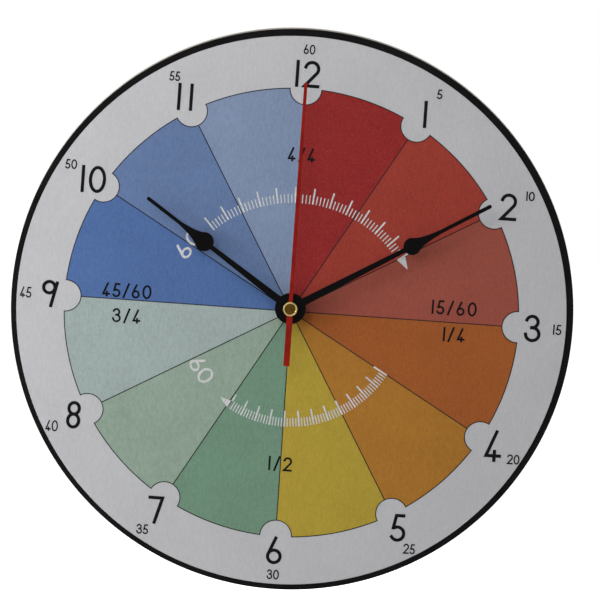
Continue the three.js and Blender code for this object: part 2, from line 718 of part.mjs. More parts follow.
function secondHand() {
  const halfTail = SECOND_HAND_TAIL_WIDTH / 2;
  const halfRoot = SECOND_HAND_ROOT_WIDTH / 2;
  const halfTip = SECOND_HAND_TIP_WIDTH / 2;
  const strip = [
    new THREE.Vector2(-halfTail, -SECOND_HAND_TAIL),
    new THREE.Vector2(halfTail, -SECOND_HAND_TAIL),
    new THREE.Vector2(halfTail, 0),
    new THREE.Vector2(halfRoot, 0),
    new THREE.Vector2(halfTip, SECOND_HAND_TIP),
    new THREE.Vector2(-halfTip, SECOND_HAND_TIP),
    new THREE.Vector2(-halfRoot, 0),
    new THREE.Vector2(-halfTail, 0),
  ];
  const back = secondHeadBack + SECOND_HAND_THICKNESS;
  const hole = disc(
    holeRadius(SECOND_TUBE_RADIUS, PRESS_CLEARANCE, PIPE_SIDES),
    PIPE_SIDES,
    secondHeadBack - OVERRUN,
    back + OVERRUN,
    CENTRE,
  );
  const eye = disc(SECOND_HAND_EYE_RADIUS, PIPE_SIDES, secondHeadBack, back, CENTRE);
  return cut(join(plate(strip, secondHeadBack, back), eye), hole);
}

// The brass head has a raised rim round a shallow dish, and a tube that grips the arbor.
function secondHandBush() {
  const bore = holeRadius(SECOND_ARBOR_RADIUS, PRESS_CLEARANCE, PIPE_SIDES);
  const dish = SECOND_HEAD_RADIUS - SECOND_HEAD_RIM;
  const profile = [
    [0, secondHeadFront + SECOND_HEAD_DISH],
    [dish, secondHeadFront + SECOND_HEAD_DISH],
    [dish + SECOND_HEAD_EDGE_BREAK, secondHeadFront],
    [SECOND_HEAD_RADIUS - SECOND_HEAD_EDGE_BREAK, secondHeadFront],
    [SECOND_HEAD_RADIUS, secondHeadFront + SECOND_HEAD_EDGE_BREAK],
    [SECOND_HEAD_RADIUS, secondHeadBack],
    [SECOND_TUBE_RADIUS, secondHeadBack],
    [SECOND_TUBE_RADIUS, secondTubeBack],
    [bore, secondTubeBack],
    [bore, secondHeadBack],
    [0, secondHeadBack],
  ];
  return turned(profile, PIPE_SIDES);
}

const hourGroup = turnedGroup(HOUR_HAND_ANGLE);
const minuteGroup = turnedGroup(MINUTE_HAND_ANGLE);
const secondGroup = turnedGroup(SECOND_HAND_ANGLE);
add("hour_hand", spadeHand(HOUR_HAND, HOUR_PIPE_RADIUS, hourHandBack), BLACK_PAINT, hourGroup);
add("minute_hand", spadeHand(MINUTE_HAND, MINUTE_PIPE_RADIUS, minuteHandBack), BLACK_PAINT, minuteGroup);
add("second_hand", secondHand(), RED_PAINT, secondGroup);
add("second_hand_bush", secondHandBush(), BRASS, secondGroup);

// Movement case

const inFloor = caseFront + CASE_WALL / 2;

function pivotBoss(axis, arborRadius) {
  const back = caseFloor + PIVOT_BOSS_HEIGHT;
  const hole = holeRadius(arborRadius, RUNNING_CLEARANCE, ARBOR_SIDES);
  return {
    body: disc(arborRadius + PIVOT_BOSS_WALL, ARBOR_SIDES, inFloor, back, axis),
    hole: disc(hole, ARBOR_SIDES, back - PIVOT_DEPTH, back + OVERRUN, axis),
  };
}

// A notch at each end of the partition lets a contact strip through.
function contactNotch(side) {
  const wall = side * bayHalfWidth;
  const inner = side * (bayHalfWidth - CONTACT_THICKNESS - CONTACT_NOTCH_CLEARANCE);
  const halfWidth = CONTACT_WIDTH / 2 + CONTACT_NOTCH_CLEARANCE;
  const outline = box(Math.min(wall, inner), Math.max(wall, inner), bayTop - OVERRUN, roomFoot + OVERRUN);
  return plate(outline, batteryY - halfWidth, batteryY + halfWidth);
}

function movementCase() {
  const outline = roundedBox(-caseHalfWidth, caseHalfWidth, caseFoot, caseTop, CASE_CORNER);
  const shell = plate(outline, caseFront, 0);
  const room = plate(box(-roomHalfWidth, roomHalfWidth, roomFoot, roomTop), caseFloor, OVERRUN);
  const bay = plate(box(-bayHalfWidth, bayHalfWidth, bayFoot, bayTop), caseFloor, OVERRUN);
  const coverSeat = plate(
    box(-caseHalfWidth - OVERRUN, caseHalfWidth + OVERRUN, bayTop, caseTop + OVERRUN),
    coverFront,
    OVERRUN,
  );
  const bushHole = disc(
    holeRadius(BUSH_RADIUS, PRESS_CLEARANCE, PIPE_SIDES),
    PIPE_SIDES,
    caseFront - OVERRUN,
    OVERRUN,
    CENTRE,
  );
  const bosses = [
    pivotBoss(rotorAxis, ARBOR_RADIUS),
    pivotBoss(intermediateAxis, ARBOR_RADIUS),
    pivotBoss(thirdAxis, ARBOR_RADIUS),
    pivotBoss(knobAxis, KNOB_SHAFT_RADIUS),
  ];
  const posts = bridgePosts.flatMap((place) => [
    disc(BRIDGE_POST_RADIUS, ARBOR_SIDES, inFloor, bridgeFront, place),
    disc(BRIDGE_TIP_RADIUS, ARBOR_SIDES, inFloor, bridgeBack + BRIDGE_TIP_PROUD, place),
  ]);
  const circuitPosts = CIRCUIT_POST_SHARES.map((share) => {
    const place = { x: share.across * circuitHalfWidth, z: circuitFoot + share.up * CIRCUIT_HEIGHT };
    return disc(CIRCUIT_POST_RADIUS, ARBOR_SIDES, inFloor, circuitFront, place);
  });
  const motionPost = disc(MOTION_POST_RADIUS, ARBOR_SIDES, inFloor, motionWheelBack, motionAxis);
  const hollow = cut(shell, room, bay, coverSeat, bushHole, contactNotch(1), contactNotch(-1));
  const furnished = join(hollow, ...bosses.map((boss) => boss.body), ...posts, ...circuitPosts, motionPost);
  return cut(furnished, ...bosses.map((boss) => boss.hole));
}

// The rear cover stops at the battery bay, and a lip on its inside keeps it square.
function movementBack() {
  const cornerX = caseHalfWidth - CASE_CORNER;
  const cornerZ = caseTop - CASE_CORNER;
  const outline = [
    new THREE.Vector2(-caseHalfWidth, bayTop + COVER_GAP),
    new THREE.Vector2(caseHalfWidth, bayTop + COVER_GAP),
    ...arc(CASE_CORNER, 0, 90, CORNER_STEPS, { x: cornerX, z: cornerZ }),
    ...arc(CASE_CORNER, 90, 180, CORNER_STEPS, { x: -cornerX, z: cornerZ }),
  ];
  const lipOuter = roomHalfWidth - COVER_GAP;
  const lipInner = lipOuter - COVER_LIP_THICKNESS;
  const lipFoot = roomFoot + COVER_GAP;
  const lipTop = roomTop - COVER_GAP;
  const lip = plate(
    box(-lipOuter, lipOuter, lipFoot, lipTop),
    coverFront - COVER_LIP_DEPTH,
    coverFront + COVER_THICKNESS / 2,
    [box(-lipInner, lipInner, lipFoot + COVER_LIP_THICKNESS, lipTop - COVER_LIP_THICKNESS)],
  );
  const knobHole = circle(KNOB_RADIUS + KNOB_HOLE_CLEARANCE, ROUND_SIDES, knobAxis);
  return join(plate(outline, coverFront, 0, [knobHole]), lip);
}

// Coil, core and stator

function boxAlongX(halfDepth, halfHeight) {
  return box(coilY - halfDepth, coilY + halfDepth, coilZ - halfHeight, coilZ + halfHeight);
}

function coilBobbin() {
  const holeHalfDepth = CORE_THICKNESS / 2 + RUNNING_CLEARANCE;
  const holeHalfHeight = CORE_WIDTH / 2 + RUNNING_CLEARANCE;
  const hole = bar(boxAlongX(holeHalfDepth, holeHalfHeight), bobbinLeft - OVERRUN, bobbinRight + OVERRUN);
  const tube = bar(
    boxAlongX(holeHalfDepth + BOBBIN_WALL, holeHalfHeight + BOBBIN_WALL),
    bobbinLeft,
    bobbinRight,
  );
  const flange = boxAlongX(BOBBIN_FLANGE_HALF, BOBBIN_FLANGE_HALF);
  const left = bar(flange, bobbinLeft, bobbinLeft + BOBBIN_FLANGE_THICKNESS);
  const right = bar(flange, bobbinRight - BOBBIN_FLANGE_THICKNESS, bobbinRight);
  return cut(join(tube, left, right), hole);
}

function coilWinding() {
  const inner = BOBBIN_WALL + 2 * RUNNING_CLEARANCE;
  const hole = boxAlongX(CORE_THICKNESS / 2 + inner, CORE_WIDTH / 2 + inner);
  const left = bobbinLeft + BOBBIN_FLANGE_THICKNESS + RUNNING_CLEARANCE;
  const right = bobbinRight - BOBBIN_FLANGE_THICKNESS - RUNNING_CLEARANCE;
  const round = circle(COIL_RADIUS, PIPE_SIDES, { x: coilY, z: coilZ });
  return bar(round, left, right, [hole]);
}

function coilCore() {
  const halfHeight = CORE_WIDTH / 2;
  return plate(box(coreLeft, coreRight, coilZ - halfHeight, coilZ + halfHeight), statorBack, coreBack);
}

function statorPlate() {
  const yokeFoot = rotorAxis.z - STATOR_YOKE_WIDTH / 2;
  const yokeTop = yokeFoot + STATOR_YOKE_WIDTH;
  const armTop = coilZ + CORE_WIDTH / 2;
  const eye = disc(STATOR_EYE_RADIUS, ROUND_SIDES, statorFront, statorBack, rotorAxis);
  const hole = disc(
    MAGNET_RADIUS + STATOR_AIR_GAP,
    ROUND_SIDES,
    statorFront - OVERRUN,
    statorBack + OVERRUN,
    rotorAxis,
  );
  const bars = [
    box(coreLeft, coreRight, yokeFoot, yokeTop),
    box(coreLeft, coreLeft + STATOR_ARM_WIDTH, yokeFoot, armTop),
    box(coreRight - STATOR_ARM_WIDTH, coreRight, yokeFoot, armTop),
  ].map((outline) => plate(outline, statorFront, statorBack));
  return cut(join(eye, ...bars), hole);
}

add("movement_case", movementCase(), CASE_PLASTIC);
add("movement_back", movementBack(), CASE_PLASTIC);
add("coil_bobbin", coilBobbin(), BRIDGE_PLASTIC);
add("coil_winding", coilWinding(), COPPER);
add("coil_core", coilCore(), SOFT_IRON);
add("stator", statorPlate(), SOFT_IRON);

// Circuit board, with its chip and crystal on the side that faces the rear cover

function circuitBoard() {
  return plate(
    box(-circuitHalfWidth, circuitHalfWidth, circuitFoot, circuitTop),
    circuitFront,
    circuitBack,
  );
}

function driverChip() {
  const front = circuitBack + SOLDER_GAP;
  const outline = box(
    CHIP_X - CHIP_WIDTH / 2,
    CHIP_X + CHIP_WIDTH / 2,
    coilZ - CHIP_HEIGHT / 2,
    coilZ + CHIP_HEIGHT / 2,
  );
  return plate(outline, front, front + CHIP_THICKNESS);
}

function quartzCrystal() {
  const middle = { x: circuitBack + SOLDER_GAP + CRYSTAL_RADIUS, z: coilZ };
  return bar(circle(CRYSTAL_RADIUS, ARBOR_SIDES, middle), CRYSTAL_X, CRYSTAL_X + CRYSTAL_LENGTH);
}

add("circuit_board", circuitBoard(), CIRCUIT);
add("driver_chip", driverChip(), CHIP);
add("quartz_crystal", quartzCrystal(), STEEL);

// Battery and contacts: the cell lies across the case, with its nub to the right

const nubRight = bayHalfWidth - CONTACT_THICKNESS - CONTACT_TO_NUB;
const cellRight = nubRight - BATTERY_NUB_LENGTH;
const cellLeft = nubRight - BATTERY_LENGTH;

function battery() {
  const profile = [
    [0, cellLeft],
    [BATTERY_RADIUS - BATTERY_EDGE_BREAK, cellLeft],
    [BATTERY_RADIUS, cellLeft + BATTERY_EDGE_BREAK],
    [BATTERY_RADIUS, cellRight - BATTERY_EDGE_BREAK],
    [BATTERY_RADIUS - BATTERY_EDGE_BREAK, cellRight],
    [BATTERY_NUB_RADIUS, cellRight],
    [BATTERY_NUB_RADIUS, nubRight],
    [0, nubRight],
  ];
  const turn = new THREE.Matrix4().makeBasis(ALONG_Z, ALONG_X, ALONG_Y);
  return turned(profile, ROUND_SIDES).applyMatrix4(turn).translate(0, batteryY, batteryZ);
}

function contactStrip(side) {
  const outer = side * bayHalfWidth;
  const inner = side * (bayHalfWidth - CONTACT_THICKNESS);
  const foot = batteryZ - CONTACT_BELOW_BATTERY_AXIS;
  const top = circuitFoot + CONTACT_OVER_CIRCUIT;
  const halfWidth = CONTACT_WIDTH / 2;
  return plate(
    box(Math.min(outer, inner), Math.max(outer, inner), foot, top),
    batteryY - halfWidth,
    batteryY + halfWidth,
  );
}

// The sprung leaf is an arched band that stands off the strip towards the cell's flat end.
function contactLeaf() {
  const radius = (LEAF_HALF_SPAN ** 2 + LEAF_BULGE ** 2) / (2 * LEAF_BULGE);
  const spread = THREE.MathUtils.radToDeg(Math.asin(LEAF_HALF_SPAN / radius));
  const middle = { x: LEAF_BULGE - radius - bayHalfWidth, z: batteryZ };
  const outer = arc(radius, -spread, spread, 2 * CORNER_STEPS, middle);
  const inner = arc(radius - CONTACT_THICKNESS, -spread, spread, 2 * CORNER_STEPS, middle).reverse();
  const halfWidth = CONTACT_WIDTH / 2;
  const band = plate([...outer, ...inner], batteryY - halfWidth, batteryY + halfWidth);
  const room = plate(
    box(-bayHalfWidth, 0, batteryZ - 2 * LEAF_HALF_SPAN, batteryZ + 2 * LEAF_HALF_SPAN),
    batteryY - CONTACT_WIDTH,
    batteryY + CONTACT_WIDTH,
  );
  return overlapOf(band, room);
}

add("battery", battery(), CELL);
add("battery_contact_positive", contactStrip(1), STEEL);
add("battery_contact_negative", join(contactStrip(-1), contactLeaf()), STEEL);

// Bridge: a plate over the train that holds the rear pivots, on the case's four posts

function gearBridge() {
  const corners = bridgePosts.flatMap((post, i) => {
    const before = bridgePosts.at(i - 1);
    const after = bridgePosts[(i + 1) % bridgePosts.length];
    const into = THREE.MathUtils.radToDeg(Math.atan2(post.z - before.z, post.x - before.x)) - 90;
    const out = THREE.MathUtils.radToDeg(Math.atan2(after.z - post.z, after.x - post.x)) - 90;
    const turn = THREE.MathUtils.euclideanModulo(out - into, 360);
    return arc(BRIDGE_MARGIN, into, into + turn, CORNER_STEPS, post);
  });
  const pivots = [
    [rotorAxis, ARBOR_RADIUS],
    [intermediateAxis, ARBOR_RADIUS],
    [thirdAxis, ARBOR_RADIUS],
    [CENTRE, SECOND_ARBOR_RADIUS],
  ].map(([axis, radius]) => circle(holeRadius(radius, RUNNING_CLEARANCE, ARBOR_SIDES), ARBOR_SIDES, axis));
  const tipHole = holeRadius(BRIDGE_TIP_RADIUS, PRESS_CLEARANCE, ARBOR_SIDES);
  const tips = bridgePosts.map((post) => circle(tipHole, ARBOR_SIDES, post));
  return plate(corners, bridgeFront, bridgeBack, [...pivots, ...tips]);
}

add("gear_bridge", gearBridge(), BRIDGE_PLASTIC);

// Wheels

const pivotFront = caseFloor + PIVOT_BOSS_HEIGHT - PIVOT_DEPTH + RUNNING_CLEARANCE;
const pivotBack = bridgeBack;
const magnetFront = (statorFront + statorBack - MAGNET_LENGTH) / 2;

function arbor(axis, front = pivotFront, back = pivotBack) {
  return disc(ARBOR_RADIUS, ARBOR_SIDES, front, back, axis);
}

function rotorPinion() {
  const front = intermediateWheelFront - PINION_OVERHANG;
  const back = intermediateWheelBack + PINION_OVERHANG;
  const outline = teeth(ROTOR_PINION_TEETH, rotorModule, ROTOR_BEARING + 180, rotorAxis);
  const hub = disc(ROTOR_HUB_RADIUS, ARBOR_SIDES, magnetFront, front, rotorAxis);
  return join(plate(outline, front, back), hub, arbor(rotorAxis));
}

function rotorMagnet() {
  const hole = circle(holeRadius(ROTOR_HUB_RADIUS, PRESS_CLEARANCE, ARBOR_SIDES), ARBOR_SIDES, rotorAxis);
  return disc(MAGNET_RADIUS, PIPE_SIDES, magnetFront, magnetFront + MAGNET_LENGTH, rotorAxis, [hole]);
}

function intermediateWheel() {
  const bearing = gapBearing(INTERMEDIATE_WHEEL_TEETH, ROTOR_BEARING);
  const wheel = teeth(INTERMEDIATE_WHEEL_TEETH, rotorModule, bearing, intermediateAxis);
  const pinion = teeth(
    INTERMEDIATE_PINION_TEETH,
    secondModule,
    INTERMEDIATE_BEARING + 180,
    intermediateAxis,
  );
  return join(
    plate(wheel, intermediateWheelFront, intermediateWheelBack),
    plate(pinion, secondWheelFront - PINION_OVERHANG, intermediateWheelFront),
    arbor(intermediateAxis),
  );
}

function secondWheel() {
  const bearing = gapBearing(SECOND_WHEEL_TEETH, INTERMEDIATE_BEARING);
  const wheel = teeth(SECOND_WHEEL_TEETH, secondModule, bearing, CENTRE);
  const pinion = teeth(SECOND_PINION_TEETH, thirdModule, THIRD_BEARING, CENTRE);
  const front = thirdWheelFront - PINION_OVERHANG;
  const back = secondWheelFront + WHEEL_THICKNESS;
  const bore = disc(
    holeRadius(SECOND_ARBOR_RADIUS, PRESS_CLEARANCE, ARBOR_SIDES),
    ARBOR_SIDES,
    front - OVERRUN,
    back + OVERRUN,
    CENTRE,
  );
  return cut(join(plate(wheel, secondWheelFront, back), plate(pinion, front, secondWheelFront)), bore);
}

function thirdWheel() {
  const bearing = gapBearing(THIRD_WHEEL_TEETH, THIRD_BEARING + 180);
  const wheel = teeth(THIRD_WHEEL_TEETH, thirdModule, bearing, thirdAxis);
  const pinion = teeth(THIRD_PINION_TEETH, centreModule, THIRD_BEARING + 180, thirdAxis);
  return join(
    plate(wheel, thirdWheelFront, thirdWheelFront + WHEEL_THICKNESS),
    plate(pinion, centreWheelFront - PINION_OVERHANG, thirdWheelFront),
    arbor(thirdAxis),
  );
}

function centreWheel() {
  const bearing = gapBearing(CENTRE_WHEEL_TEETH, THIRD_BEARING);
  const wheel = teeth(CENTRE_WHEEL_TEETH, centreModule, bearing, CENTRE);
  const hole = circle(holeRadius(SPIGOT_RADIUS, RUNNING_CLEARANCE, PIPE_SIDES), PIPE_SIDES);
  return plate(wheel, centreWheelFront, centreWheelBack, [hole]);
}

function clutchSpring() {
  const hole = circle(holeRadius(SPIGOT_RADIUS, PRESS_CLEARANCE, PIPE_SIDES), PIPE_SIDES);
  return disc(CLUTCH_RADIUS, PIPE_SIDES, clutchFront, clutchFront + CLUTCH_THICKNESS, CENTRE, [hole]);
}

function minutePipe() {
  const pinion = teeth(CANNON_TEETH, cannonModule, MOTION_BEARING, CENTRE);
  const cannonFront = motionWheelFront - PINION_OVERHANG;
  const spigotBack = centreWheelBack + SPIGOT_BEYOND_WHEEL;
  const bore = disc(
    holeRadius(SECOND_ARBOR_RADIUS, RUNNING_CLEARANCE, PIPE_SIDES),
    PIPE_SIDES,
    minutePipeFront - OVERRUN,
    spigotBack + OVERRUN,
    CENTRE,
  );
  return cut(
    join(
      disc(MINUTE_PIPE_RADIUS, PIPE_SIDES, minutePipeFront, cannonFront, CENTRE),
      plate(pinion, cannonFront, cannonBack),
      disc(SPIGOT_RADIUS, PIPE_SIDES, cannonBack, spigotBack, CENTRE),
    ),
    bore,
  );
}

function motionWheel() {
  const bearing = gapBearing(MOTION_WHEEL_TEETH, MOTION_BEARING + 180);
  const wheel = teeth(MOTION_WHEEL_TEETH, cannonModule, bearing, motionAxis);
  const pinion = teeth(MOTION_PINION_TEETH, hourModule, MOTION_BEARING + 180, motionAxis);
  const pinionFront = hourWheelFront - PINION_OVERHANG;
  const bore = disc(
    holeRadius(MOTION_POST_RADIUS, RUNNING_CLEARANCE, ARBOR_SIDES),
    ARBOR_SIDES,
    pinionFront - OVERRUN,
    motionWheelBack + OVERRUN,
    motionAxis,
  );
  const wheels = join(
    plate(wheel, motionWheelFront, motionWheelBack),
    plate(pinion, pinionFront, motionWheelFront),
  );
  return cut(wheels, bore);
}

function hourWheel() {
  const bearing = gapBearing(HOUR_WHEEL_TEETH, MOTION_BEARING);
  const wheel = teeth(HOUR_WHEEL_TEETH, hourModule, bearing, CENTRE);
  const bore = disc(
    holeRadius(MINUTE_PIPE_RADIUS, RUNNING_CLEARANCE, PIPE_SIDES),
    PIPE_SIDES,
    hourPipeFront - OVERRUN,
    hourWheelBack + OVERRUN,
    CENTRE,
  );
  const pipe = disc(HOUR_PIPE_RADIUS, PIPE_SIDES, hourPipeFront, hourWheelFront, CENTRE);
  return cut(join(pipe, plate(wheel, hourWheelFront, hourWheelBack)), bore);
}

add("rotor_magnet", rotorMagnet(), MAGNET);
add("rotor_pinion", rotorPinion(), WHEEL_PLASTIC);
add("intermediate_wheel", intermediateWheel(), WHEEL_PLASTIC);
add("second_wheel", secondWheel(), WHEEL_PLASTIC);
add("third_wheel", thirdWheel(), WHEEL_PLASTIC);
add("centre_wheel", centreWheel(), BRASS);
add("clutch_spring", clutchSpring(), STEEL);
add("minute_pipe", minutePipe(), BRASS);
add("motion_wheel", motionWheel(), WHEEL_PLASTIC);
add("hour_wheel", hourWheel(), WHEEL_PLASTIC);
add(
  "second_arbor",
  disc(SECOND_ARBOR_RADIUS, ARBOR_SIDES, secondHeadBack + RUNNING_CLEARANCE, bridgeBack, CENTRE),
  STEEL,
);

// Setting knob: a knurled disc with a slot, flush with the rear cover, on a shaft with a pinion

function setKnob() {
  const pitch = 360 / KNOB_KNURLS;
  const rim = [];
  for (let i = 0; i < KNOB_KNURLS; i += 1) {
    const outer = pointAt(KNOB_RADIUS, i * pitch, knobAxis);
    const inner = pointAt(KNOB_RADIUS - KNOB_KNURL_DEPTH, (i + 2 * KNURL_HALF_SHARE) * pitch, knobAxis);
    rim.push(new THREE.Vector2(outer.x, outer.z), new THREE.Vector2(inner.x, inner.z));
  }
  const slotHalf = KNOB_SLOT_WIDTH / 2;
  const slot = plate(
    box(
      knobAxis.x - KNOB_RADIUS - OVERRUN,
      knobAxis.x + KNOB_RADIUS + OVERRUN,
      knobAxis.z - slotHalf,
      knobAxis.z + slotHalf,
    ),
    knobBack - KNOB_SLOT_DEPTH,
    knobBack + OVERRUN,
  );
  const motionTooth = gapBearing(MOTION_WHEEL_TEETH, MOTION_BEARING + 180);
  const wheelPitch = 360 / MOTION_WHEEL_TEETH;
  const wheelPhase = (KNOB_BEARING - motionTooth) / wheelPitch;
  const pinionPitch = 360 / KNOB_PINION_TEETH;
  const bearing = KNOB_BEARING + 180 - (1 / 2 - wheelPhase) * pinionPitch;
  const pinion = teeth(KNOB_PINION_TEETH, cannonModule, bearing, knobAxis);
  return join(
    cut(plate(rim, knobFront, knobBack), slot),
    disc(KNOB_SHAFT_RADIUS, ARBOR_SIDES, pivotFront, knobFront, knobAxis),
    plate(pinion, motionWheelFront - PINION_OVERHANG, motionWheelBack + PINION_OVERHANG),
  );
}

add("set_knob", setKnob(), CASE_PLASTIC);

export default clock;
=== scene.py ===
# A teaching wall clock: a round black board with a printed paper dial of twelve coloured
# sectors, black spade hands, a red second hand with a brass head, and a battery movement.
# It is laid out as an add-on, and run as a script. Sizes in the settings and tables are in
# millimetres; the frame and every finished piece are in metres. The dial faces -Y.

import json
import math

import bmesh
import bpy
from bpy.props import FloatProperty, FloatVectorProperty, IntProperty, PointerProperty
from mathutils import Matrix, Vector


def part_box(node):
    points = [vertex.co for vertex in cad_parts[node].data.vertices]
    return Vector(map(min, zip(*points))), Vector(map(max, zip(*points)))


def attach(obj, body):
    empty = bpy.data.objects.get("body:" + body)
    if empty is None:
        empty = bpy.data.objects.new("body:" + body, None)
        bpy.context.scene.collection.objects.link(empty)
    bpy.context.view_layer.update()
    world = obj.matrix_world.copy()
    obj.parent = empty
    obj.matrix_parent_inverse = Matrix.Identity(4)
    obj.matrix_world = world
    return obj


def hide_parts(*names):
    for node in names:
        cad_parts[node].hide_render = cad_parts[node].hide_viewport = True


bl_info = {
    "name": "Teaching Clock",
    "version": (1, 0, 0),
    "blender": (4, 5, 0),
    "location": "View3D > Sidebar > Clock",
    "description": "Dresses a teaching clock: printed dial, hands, movement, battery and stage",
    "category": "Object",
}

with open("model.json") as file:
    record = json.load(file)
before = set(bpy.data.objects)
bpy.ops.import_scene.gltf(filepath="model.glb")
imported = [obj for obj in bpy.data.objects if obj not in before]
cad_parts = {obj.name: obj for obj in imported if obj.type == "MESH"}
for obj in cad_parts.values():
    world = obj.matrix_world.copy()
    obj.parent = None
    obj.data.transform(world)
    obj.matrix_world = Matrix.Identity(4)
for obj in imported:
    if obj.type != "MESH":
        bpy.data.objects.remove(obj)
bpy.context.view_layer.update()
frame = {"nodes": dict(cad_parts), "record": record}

MM = 0.001
BODY_OF = {
    node: body
    for body, nodes in frame["record"]["behaviour"]["bodies"].items()
    for node in nodes
}


def front_of(node):
    """Where a node's front face lies, in millimetres along Y."""
    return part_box(node)[0].y / MM


def back_of(node):
    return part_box(node)[1].y / MM


def middle_of(node):
    """The middle of a node seen from the front, as X and Z in millimetres."""
    low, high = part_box(node)
    return (low.x + high.x) / 2 / MM, (low.z + high.z) / 2 / MM


def width_of(node):
    low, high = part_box(node)
    return (high.x - low.x) / MM


def corners_of(node):
    """A node's lowest and highest corner, in millimetres."""
    low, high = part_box(node)
    return low / MM, high / MM


PAPER_FRONT = front_of("dial_print")
BOARD_MIDDLE = middle_of("dial_board")

# The hole that clears the bush, and the bare round of paper under the nut: radii
BUSH_BORE = 4.25
BARE_ROUND = 7.15

# How far the layers of ink stand in front of the paper; a film has a front and a back
OUTLINE_FILM = (0.03, 0.01)
SECTOR_FILM = (0.05, 0.032)
NUMBER_LEVEL = 0.06
MARK_LEVEL = 0.08

# The printed disc: its middle, how the press stretched it sideways, flattened it and drew it
# askew, where its lines cross, seen from its middle, and how far out its notches lie
PIE_MIDDLE = (BOARD_MIDDLE[0] - 0.27, BOARD_MIDDLE[1] - 1.67)
PIE_STRETCH = (1.0062, 0.9958)
PIE_SKEW = -0.00124
CROSSING = (-0.335, 0.827)
NOTCH_RING = 120.2

# The curved scales: middle, radius, whether feet point outwards, bearing of the number,
# bearing of the first step, degrees from step to step, and bearing of the arrow head
CURVED_SCALES = (
    ((BOARD_MIDDLE[0] + 0.68, BOARD_MIDDLE[1] - 9.35), 66.5, False, -61.5, -42.5, 1.6, 57.5),
    ((BOARD_MIDDLE[0] - 0.52, BOARD_MIDDLE[1] - 1.35), 61.3, True, 240.0, 209.5, -1.5, 213.5),
)

# Their marks: width and height of a step and of each fifth step, the arrow head's length and
# height, and the digits' height, how much broader they are than the plain ones, and their gap
STEP_MARKS = ((0.55, 4.6), (0.85, 8.4))
ARROW_LENGTH = 4.0
ARROW_HEIGHT = 4.6
CURVED_HEIGHT = 8.9
CURVED_BREADTH = 1.28
CURVED_GAP = 1.2

# Least gap between two digits, as a share of the stroke
DIGIT_GAP = 0.5

# Numbers on the dial: text, left, right, foot and top, from the middle of the board
HOUR_NUMBERS = (
    ("12", -6.75, 6.29, 118.89, 133.32),
    ("1", 62.69, 64.51, 101.72, 116.25),
    ("2", 106.89, 115.77, 55.40, 69.97),
    ("3", 123.92, 133.11, -8.47, 6.26),
    ("4", 107.69, 116.51, -73.77, -56.78),
    ("5", 60.39, 68.51, -120.01, -105.09),
    ("6", -4.81, 3.51, -136.61, -121.69),
    ("7", -69.41, -61.29, -119.41, -104.49),
    ("8", -116.26, -108.61, -71.57, -56.75),
    ("9", -133.78, -125.05, -7.58, 6.98),
    ("10", -116.91, -103.65, 54.97, 69.50),
    ("11", -68.71, -60.49, 102.19, 116.78),
)
MINUTE_NUMBERS = (
    ("60", -3.39, 2.83, 136.67, 141.93),
    ("5", 69.20, 71.77, 117.60, 122.82),
    ("10", 120.30, 124.85, 66.66, 71.75),
    ("15", 139.55, 144.00, -3.69, 1.82),
    ("20", 119.95, 126.56, -74.42, -69.10),
    ("25", 68.01, 74.24, -126.15, -120.70),
    ("30", -3.77, 2.74, -144.78, -139.45),
    ("35", -74.90, -68.52, -125.31, -119.98),
    ("40", -126.96, -120.33, -73.78, -67.80),
    ("45", -145.36, -139.27, -3.34, 2.48),
    ("50", -125.89, -119.57, 66.89, 72.14),
    ("55", -73.73, -67.98, 117.59, 122.77),
)
# Plain fractions of the hour, and the minutes that go with them
SECTOR_MARKS = (
    ("4/4", -7.9, 6.7, 79.1, 86.7),
    ("15/60", 74.2, 98.2, 3.0, 10.6),
    ("1/4", 81.2, 92.8, -11.2, -3.6),
    ("1/2", -6.9, 5.7, -86.5, -78.9),
    ("45/60", -101.6, -75.4, 0.2, 7.8),
    ("3/4", -95.5, -80.4, -13.2, -5.6),
)

# The bulbs of the spade hands: piece, node, distance from the axis, bearing and radius
HAND_BULBS = (
    ("hour_blade", "hour_hand", 58.1, 303.9, 5.1),
    ("minute_blade", "minute_hand", 73.0, 58.9, 4.6),
)

HANGER_SHEET = 0.8
PALE_PLASTIC = (0.72, 0.70, 0.62)

# Lamps, in metres: name, place, size, and the setting that gives the power
LAMPS = (
    ("key_lamp", (-0.55, -0.66, 0.54), 1.0, "key_power"),
    ("left_lamp", (-0.93, -0.29, 0.06), 0.4, "left_power"),
    ("fill_lamp", (1.2, -1.2, 0.8), 1.2, "fill_power"),
    ("back_lamp", (0.6, 1.45, 0.45), 1.2, "back_power"),
)


# Settings


def length_mm(name, description, default):
    """A size in millimetres."""
    return FloatProperty(name=name, description=description + ", mm", default=default)


def tint(name, description, default):
    return FloatVectorProperty(name=name, description=description, subtype="COLOR", default=default)


def sector_tint(hours, default):
    return tint("Sector " + hours, "Ink of the sector from " + hours, default)


def view_angle(name, description, degrees):
    turned = math.radians(degrees)
    return FloatProperty(name=name, description=description, default=turned, subtype="ANGLE")


def lamp_power(name, place, default):
    described = "Power of the lamp " + place
    return FloatProperty(name=name, description=described, default=default, unit="POWER")


